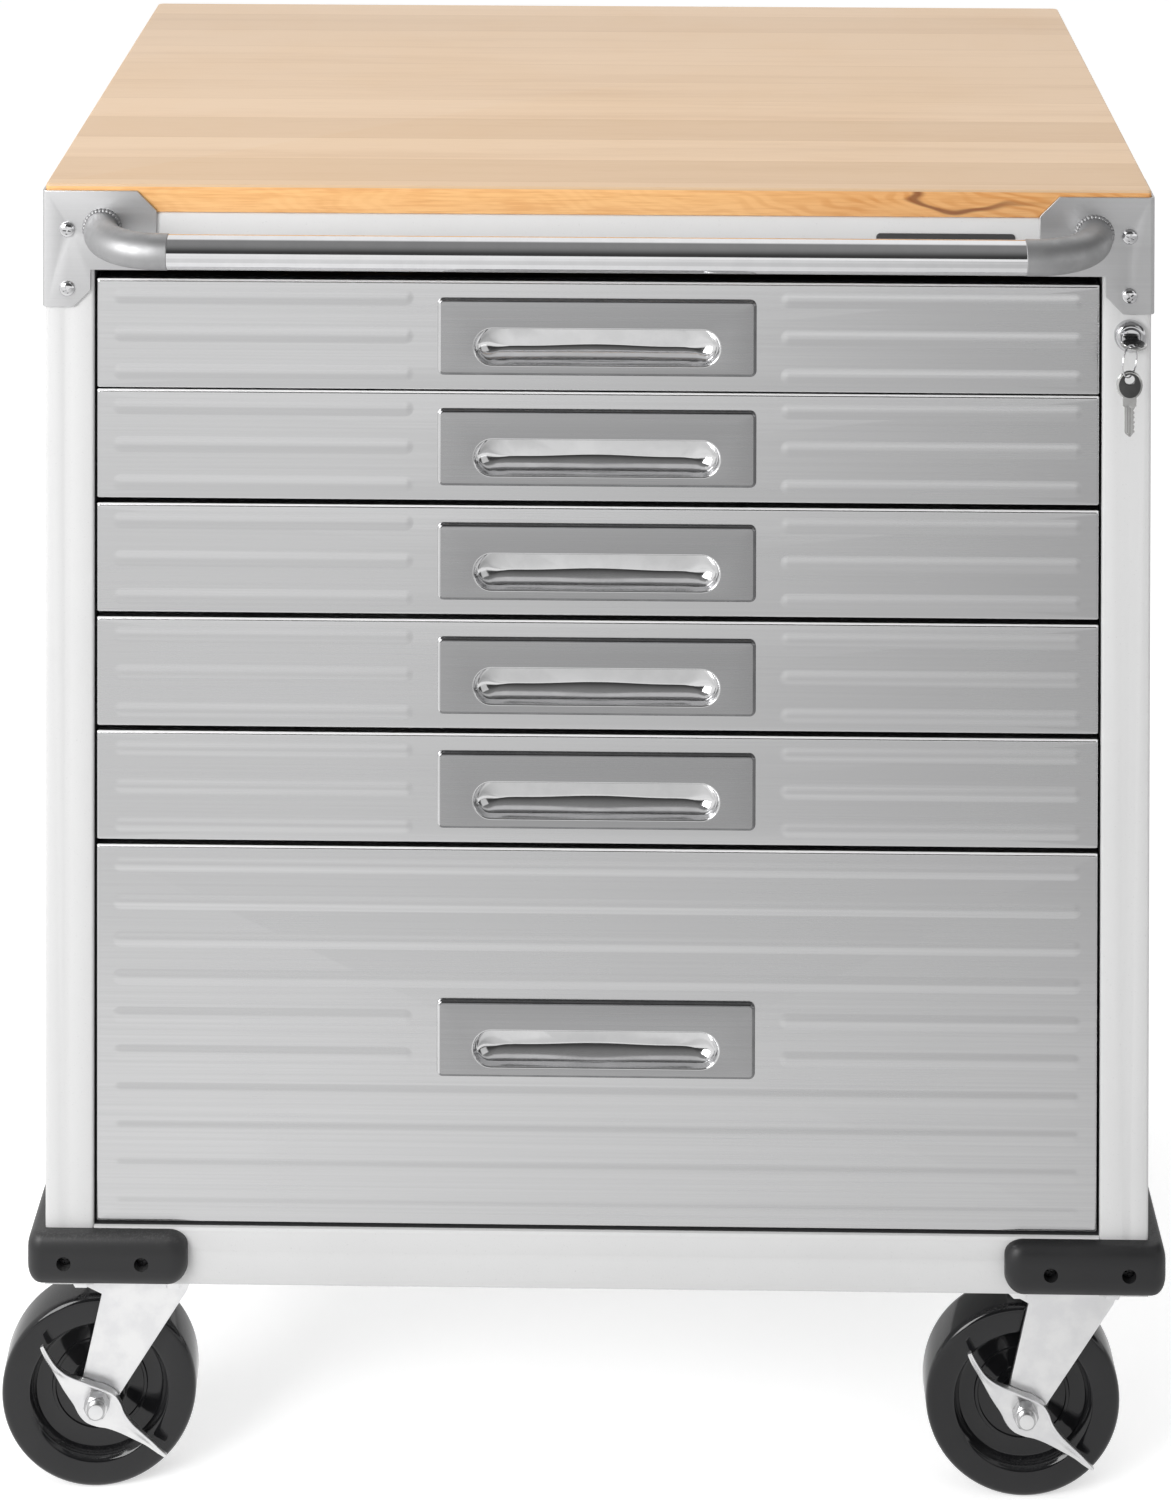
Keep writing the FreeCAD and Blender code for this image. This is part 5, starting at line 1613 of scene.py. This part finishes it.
    def split_ring(self, pivot: Vector) -> Shape:
        """The ring: two turns of wire side by side.

        Args:
            pivot: the ring's lowest point.

        Returns:
            The ring.
        """
        turn = math.radians(self.ring_turn)
        ahead = Vector((-math.sin(turn), -math.cos(turn), 0.0))
        axis = ahead.cross(UP)
        centre = pivot + Vector((0, 0, self.ring_radius * MM))
        rings = []
        for i in range(self.ring_steps + 1):
            angle = 4 * math.pi * i / self.ring_steps
            spoke = ahead * math.cos(angle) + UP * math.sin(angle)
            shift = self.ring_wire * math.tanh((i / self.ring_steps - 0.5) * self.ring_cross)
            middle = centre + (spoke * self.ring_radius + axis * shift) * MM
            rings.append([middle + (spoke * x + axis * z) * self.ring_wire * MM
                          for x, z in circle(self.wire_sides)])
        shape = Shape()
        shape.skin(rings)
        return shape

    def build(self) -> None:
        """Makes the lock and its keys."""
        lock = Vector(JOINTS["lock_turn"]["pos_m"])
        pivot = Vector(JOINTS["spare_key_swing"]["pos_m"])
        face = lock - Vector((0, (self.bezel_rise + self.plug_proud) * MM, 0))
        _, spare_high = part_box("spare_key")
        spare = Vector((pivot.x, pivot.y, spare_high.z - (self.bow_length + self.neck) * MM))

        def inserted(across: float, through: float, along: float) -> Vector:
            """Lays a key flat in the keyway with its bow outwards."""
            return face + Vector((across, -along, through)) * MM

        def hanging(across: float, through: float, along: float) -> Vector:
            """Hangs a key by its bow."""
            return spare + Vector((across, through, along)) * MM

        metal = (Finish.LOCK,)
        key = (Finish.BOW, Finish.KEY)
        self.bezel(lock).finished(Card("lock_dome", metal, node="lock_housing", smooth=50.0))
        self.plug(lock).finished(Card("lock_face", metal, "lock_plug", "lock_plug"))
        self.key(inserted, False).finished(Card("key_in_lock", key, "lock_plug", "lock_key", Finish.KEY))
        self.split_ring(pivot).finished(
            Card("split_ring", (Finish.SCREW,), "lock_plug", slot=Finish.KEY, smooth=60.0))
        self.key(hanging, True).finished(Card("hanging_key", key, "spare_key", "spare_key", Finish.KEY))


@dataclass
class Wheels:
    """Glossy moulded wheels with dished faces, whose profile is (radius, half width) in millimetres."""

    sides: int = 96
    profile: tuple[Pair, ...] = (
        (9.3, 13.5), (15.5, 13.5), (17.0, 12.9), (17.8, 11.5), (18.6, 7.4), (19.6, 7.0), (28.6, 7.0),
        (29.2, 7.9), (30.8, 7.9), (31.4, 7.0), (39.8, 7.0), (41.4, 7.7), (45.0, 14.9), (46.2, 15.8),
        (47.4, 16.0), (58.6, 16.0), (60.6, 15.6), (62.2, 14.6), (63.2, 13.0), (63.5, 11.0))

    def build(self) -> None:
        """Makes the four wheels."""
        rows = [(radius, -half) for radius, half in self.profile]
        rows += [(radius, half) for radius, half in reversed(self.profile)]
        rows.append(rows[0])
        for end in ("front", "rear"):
            for hand in ("left", "right"):
                node, body = f"wheel_{end}_{hand}", f"{end}_wheel_{hand}"
                low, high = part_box(node)
                axle = Vector(JOINTS[f"{end}_roll_{hand}"]["axis"]).normalized()
                shape = Shape()
                shape.turned(rows, (low + high) / 2, axle, self.sides)
                shape.finished(Card(f"{body}_smooth", (Finish.WHEEL,), body, node, smooth=34.0))


def caster_bench(hand: str) -> Placer:
    """Finds a front caster's own directions.

    Args:
        hand: left or right.

    Returns:
        What puts a point given as (along the travel, along the axle, up) from the hub, in
        millimetres, into the chest.
    """
    joint = JOINTS[f"front_roll_{hand}"]
    hub = Vector(joint["pos_m"])
    axle = Vector(joint["axis"]).normalized()
    along = axle.cross(UP)

    def place(x: float, y: float, z: float) -> Vector:
        """A point from the hub."""
        return hub + (along * x + axle * y + Vector((0, 0, z))) * MM

    return place


@dataclass
class BrakePedals:
    """Pressed rockers on the front axles, with a turned-out upper edge and ribbed wings.

    Each row of the outline is a place along the pedal and the heights of its lower and upper edge;
    all sizes are in millimetres.
    """

    rear: float = 22.0
    gauge: float = 2.0
    flange: float = 6.0
    flange_at_tip: float = 3.0
    flange_gauge: float = 0.9
    flange_taper: float = 0.3
    edge: float = 0.3
    bend: float = 0.7
    heel: float = 0.8
    foot: float = 0.4
    rib: float = 1.0
    rib_parts: int = 8
    wing: Pair = (0.3, 0.9)
    slope: float = 43.0
    stations: int = 73
    outline: tuple[Triple, ...] = (
        (-52.0, 1.0, 4.2), (-46.0, -1.6, 2.2), (-37.0, -4.2, 0.2), (-30.0, -6.4, 0.4), (-23.0, -8.8, 2.4),
        (-16.0, -10.6, 5.4), (-10.0, -12.0, 7.8), (-3.0, -14.6, 10.8), (4.0, -15.2, 12.4),
        (11.0, -12.8, 10.6), (17.0, -9.2, 7.6), (25.0, -6.0, 5.6), (34.0, -3.4, 5.0), (44.0, -0.8, 4.8),
        (52.0, 0.2, 4.2), (58.0, 1.2, 4.0))

    def edges(self, along: float) -> list[float]:
        """Heights of the lower and the upper edge, on a smooth curve through the outline.

        Args:
            along: distance from the hub along the pedal.

        Returns:
            [lower, upper].
        """
        rows = self.outline
        last = len(rows) - 2
        at = next((i for i in range(last) if along < rows[i + 1][0]), last)
        start, end = rows[at], rows[at + 1]
        before, after = rows[max(at - 1, 0)], rows[min(at + 2, last + 1)]
        span = end[0] - start[0]
        share = min(max((along - start[0]) / span, 0.0), 1.0)
        heights = []
        for side in (1, 2):
            leave = (end[side] - before[side]) / (end[0] - before[0]) * span
            arrive = (after[side] - start[side]) / (after[0] - start[0]) * span
            heights.append((2 * share ** 3 - 3 * share ** 2 + 1) * start[side]
                           + (share ** 3 - 2 * share ** 2 + share) * leave
                           + (3 * share ** 2 - 2 * share ** 3) * end[side]
                           + (share ** 3 - share ** 2) * arrive)
        return heights

    def section(self, along: float) -> list[Pair]:
        """The pedal's section as (height, distance out from its rear face).

        Args:
            along: distance from the hub along the pedal.

        Returns:
            The section's corners.
        """
        low, high = self.edges(along)
        share = min(abs(along) / self.outline[-1][0], 1.0)
        out = self.flange + (self.flange_at_tip - self.flange) * share
        inner = high - self.gauge * (self.flange_gauge - self.flange_taper * share)
        start, end = self.wing
        wing = math.sin(math.pi * (share - start) / (end - start)) if start < share < end else 0.0
        points = [(low, 0.0), (high - self.heel, 0.0), (high, self.heel), (high, out - self.edge),
                  (high - self.edge, out), (inner + self.edge, out), (inner, out - self.edge),
                  (inner, self.gauge + self.bend), (inner - self.bend, self.gauge)]
        for step in range(1, self.rib_parts):
            across = step / self.rib_parts
            ridge = self.rib * wing * math.sin(math.pi * across) ** 2
            points.append((inner - self.bend + (low + self.foot - inner + self.bend) * across,
                           self.gauge + ridge))
        points += [(low + self.foot, self.gauge), (low, self.gauge - self.foot)]
        return points

    def build(self) -> None:
        """Makes both pedals."""
        turn = math.radians(self.slope)
        first, last = self.outline[0][0], self.outline[-1][0]
        for hand in ("left", "right"):
            place = caster_bench(hand)
            rings = []
            for i in range(self.stations):
                along = first + (last - first) * i / (self.stations - 1)
                rings.append([place(along * math.cos(turn) + height * math.sin(turn), -self.rear - out,
                                    height * math.cos(turn) - along * math.sin(turn))
                              for height, out in self.section(along)])
            shape = Shape()
            shape.skin(rings)
            shape.finished(Card(f"pedal_{hand}", (Finish.CASTER,), f"brake_{hand}", f"brake_front_{hand}",
                                smooth=34.0))


@dataclass
class Axles:
    """Front axle bolts with chamfered nuts, washers and bushes; faces that look to the front are bright as a
    painted highlight and the rest darker; all sizes are in millimetres.
    """

    flat: float = 14.5
    face_share: float = 0.95
    corner_out: float = 0.155
    chamfer: float = 0.9
    chamfer_rise: float = 0.35
    # how squarely a face must look to the front to take the painted highlight
    highlight_facing: float = 0.9
    nut_rear: float = 24.2
    nut: float = 7.2
    end: float = 3.0
    head_rear: float = 21.2
    head: float = 7.5
    shank: float = 6.0
    thread: float = 0.9
    thread_depth: float = 0.45
    threads: int = 3
    tip_ease: Pair = (1.3, 0.5)
    washer: Triple = (11.0, 21.2, 22.0)
    washer_ease: float = 0.15
    bush: Pair = (9.0, 18.0)
    sides: int = 48

    def hexagon(self, shape: Shape, place: Placer, start: float, height: float) -> None:
        """Adds a nut or a head whose corners are turned off.

        Args:
            shape: the axle being worked.
            place: puts a point from the hub into the chest.
            start: where it seats, along the axle.
            height: its height, negative towards the front.
        """
        half = self.flat / 2

        def ring(turned: float, y: float, drop: float) -> Ring:
            """A ring of the hexagon, or of a circle where turned is 1."""
            points = []
            for i in range(self.sides):
                angle = 2 * math.pi * i / self.sides
                corner = half / math.cos((angle % (math.pi / 3)) - math.pi / 6)
                radius = corner * (1 - turned) + half * self.face_share * turned
                fall = drop * (corner - half) / (half * self.corner_out)
                points.append(place(radius * math.cos(angle), y - math.copysign(fall, height),
                                    radius * math.sin(angle)))
            return points

        lift = math.copysign(self.chamfer_rise, height)
        end = start + height
        shape.skin([ring(1.0, start, 0.0), ring(0.0, start + lift, -self.chamfer),
                    ring(0.0, end - lift, self.chamfer), ring(1.0, end, 0.0)])

    def build(self) -> None:
        """Makes both axles."""
        tip = -(self.nut_rear + self.nut + self.end)
        deep, ease = self.tip_ease
        screw = [(self.shank - deep, tip), (self.shank - ease, tip + ease)]
        for turn in range(self.threads):
            crest = tip + self.thread * (turn + 1)
            screw += [(self.shank, crest), (self.shank - self.thread_depth, crest + self.thread_depth)]
        screw.append((self.shank, self.head_rear))
        radius, inner, outer = self.washer
        ease = self.washer_ease
        disc = [(self.shank, -outer), (radius - ease, -outer), (radius, -outer + ease), (radius, -inner),
                (self.shank, -inner)]
        wide, reach = self.bush
        bush = [(self.shank, -reach), (wide, -reach), (wide, reach), (self.shank, reach)]
        for hand in ("left", "right"):
            place = caster_bench(hand)
            centre = place(0.0, 0.0, 0.0)
            axle = (place(0.0, 1.0, 0.0) - centre).normalized()
            shape = Shape()
            self.hexagon(shape, place, -self.nut_rear, -self.nut)
            self.hexagon(shape, place, self.head_rear, self.head)
            for profile in (screw, disc, bush):
                shape.turned(profile, centre, axle, self.sides)
            bmesh.ops.recalc_face_normals(shape.work, faces=shape.work.faces)
            for face in shape.work.faces:
                face.normal_update()
                # painted highlight: faces that look to the front take the bright zinc, the others the darker zinc
                if -face.normal.dot(axle) > self.highlight_facing:
                    face.material_index = 1
            shape.finished(Card(f"axle_bolt_{hand}", (Finish.SLIDE, Finish.CASTER), f"front_fork_{hand}",
                                f"axle_front_{hand}", Finish.CASTER, 34.0))


@dataclass
class BrokenEdges:
    """Folded and forged pieces whose sharp edges are broken by a small round."""

    case_round: float = 0.5 * MM
    plate_round: float = 0.35 * MM
    caster_round: float = 0.7 * MM
    limit: float = 24.0
    flat_limit: float = 0.6
    shade_facing: float = 0.93
    smooth: float = 20.0

    def soften(self, node: str, finish: Finish, radius: float, body: str = "cabinet",
               inward: Vector | None = None) -> None:
        """Copies a CAD node and rounds its edges.

        Args:
            node: the node.
            finish: its finish.
            radius: the round's size.
            body: the body that it rides on.
            inward: the direction that the case's inner faces look in, if it has them; those faces take the dark
                drawer paint as painted shade.
        """
        work = bmesh.new()
        work.from_mesh(frame["nodes"][node].data)
        bmesh.ops.remove_doubles(work, verts=work.verts, dist=2e-6)
        bmesh.ops.dissolve_limit(work, angle_limit=math.radians(self.flat_limit), verts=work.verts,
                                 edges=work.edges)
        mesh = bpy.data.meshes.new(f"{node}_blank")
        work.to_mesh(mesh)
        work.free()
        mesh.materials.clear()
        blank = bring_in(f"{node}_blank", mesh)
        rounding = blank.modifiers.new("rounding", "BEVEL")
        rounding.width = radius
        rounding.segments = 2
        rounding.limit_method = "ANGLE"
        rounding.angle_limit = math.radians(self.limit)
        rounding.use_clamp_overlap = True
        done = worked(blank)
        # painted shade: faces that look into the case take the dark drawer paint
        if inward:
            for side in done.polygons:
                side.material_index = int(side.normal.dot(inward) > self.shade_facing)
        Card(f"{node}_soft", (finish, Finish.BOX_AND_SHADE), body, node, smooth=self.smooth).make(done)

    def build(self) -> None:
        """Softens the case, the brackets and the casters' steel; the case's inner faces are painted dark as shade.
        """
        case = {"side_panel_left": (1, 0, 0), "side_panel_right": (-1, 0, 0), "top_rail": (0, 0, -1),
                "base_pan": (0, 0, 1), "back_panel": (0, -1, 0)}
        for node, inward in case.items():
            self.soften(node, Finish.CASE, self.case_round, inward=Vector(inward))
        self.soften("handle_brackets", Finish.BRACKET, self.plate_round)
        for node in ("rigid_forks", "swivel_plates", "caster_fasteners"):
            self.soften(node, Finish.CASTER, self.plate_round)
        for hand in ("left", "right"):
            self.soften(f"fork_front_{hand}", Finish.CASTER, self.caster_round, f"front_fork_{hand}")


@dataclass
class SlideBalls(PerDrawer):
    """Polished balls in the cages of the drawer slides."""

    row: int = 15
    size: float = 2.6 * MM
    inset: float = 3.7 * MM
    stand: float = 0.5 * MM
    cage: float = 150.0 * MM

    def build_one(self, number: int) -> None:
        """Fills the cages of one drawer.

        Args:
            number: the drawer, counted from the top.
        """
        pitch = self.cage / self.row
        low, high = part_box(f"drawer_{number}_carriages")
        seats = []
        for x in (low.x + self.inset, high.x - self.inset):
            for z in (low.z - self.stand, high.z + self.stand):
                seats += [(Vector((x, low.y + pitch * (step + 0.5), z)), UP) for step in range(self.row)]
        BEADS.run(Card(f"slide_balls_{number}", (Finish.SCREW,), f"carriage_{number}", slot=Finish.SLIDE,
                       smooth=60.0), seats, Width=self.size, Height=self.size)


def main() -> None:
    """Builds the dressed chest and its studio."""
    logging.basicConfig(level=logging.INFO, format="%(name)s: %(message)s")
    Camera().build()
    Studio().build()
    dress_frame()
    for assembly in (DrawerFronts(), DrawerPulls(), PushHandle(), TrimScrews(), Worktop(), Nameplate(),
                     LockSet(), Bumpers(), Wheels(), BrakePedals(), Axles(), SlideBalls(), BrokenEdges()):
        assembly.build()


if __name__ == "__main__":
    main()
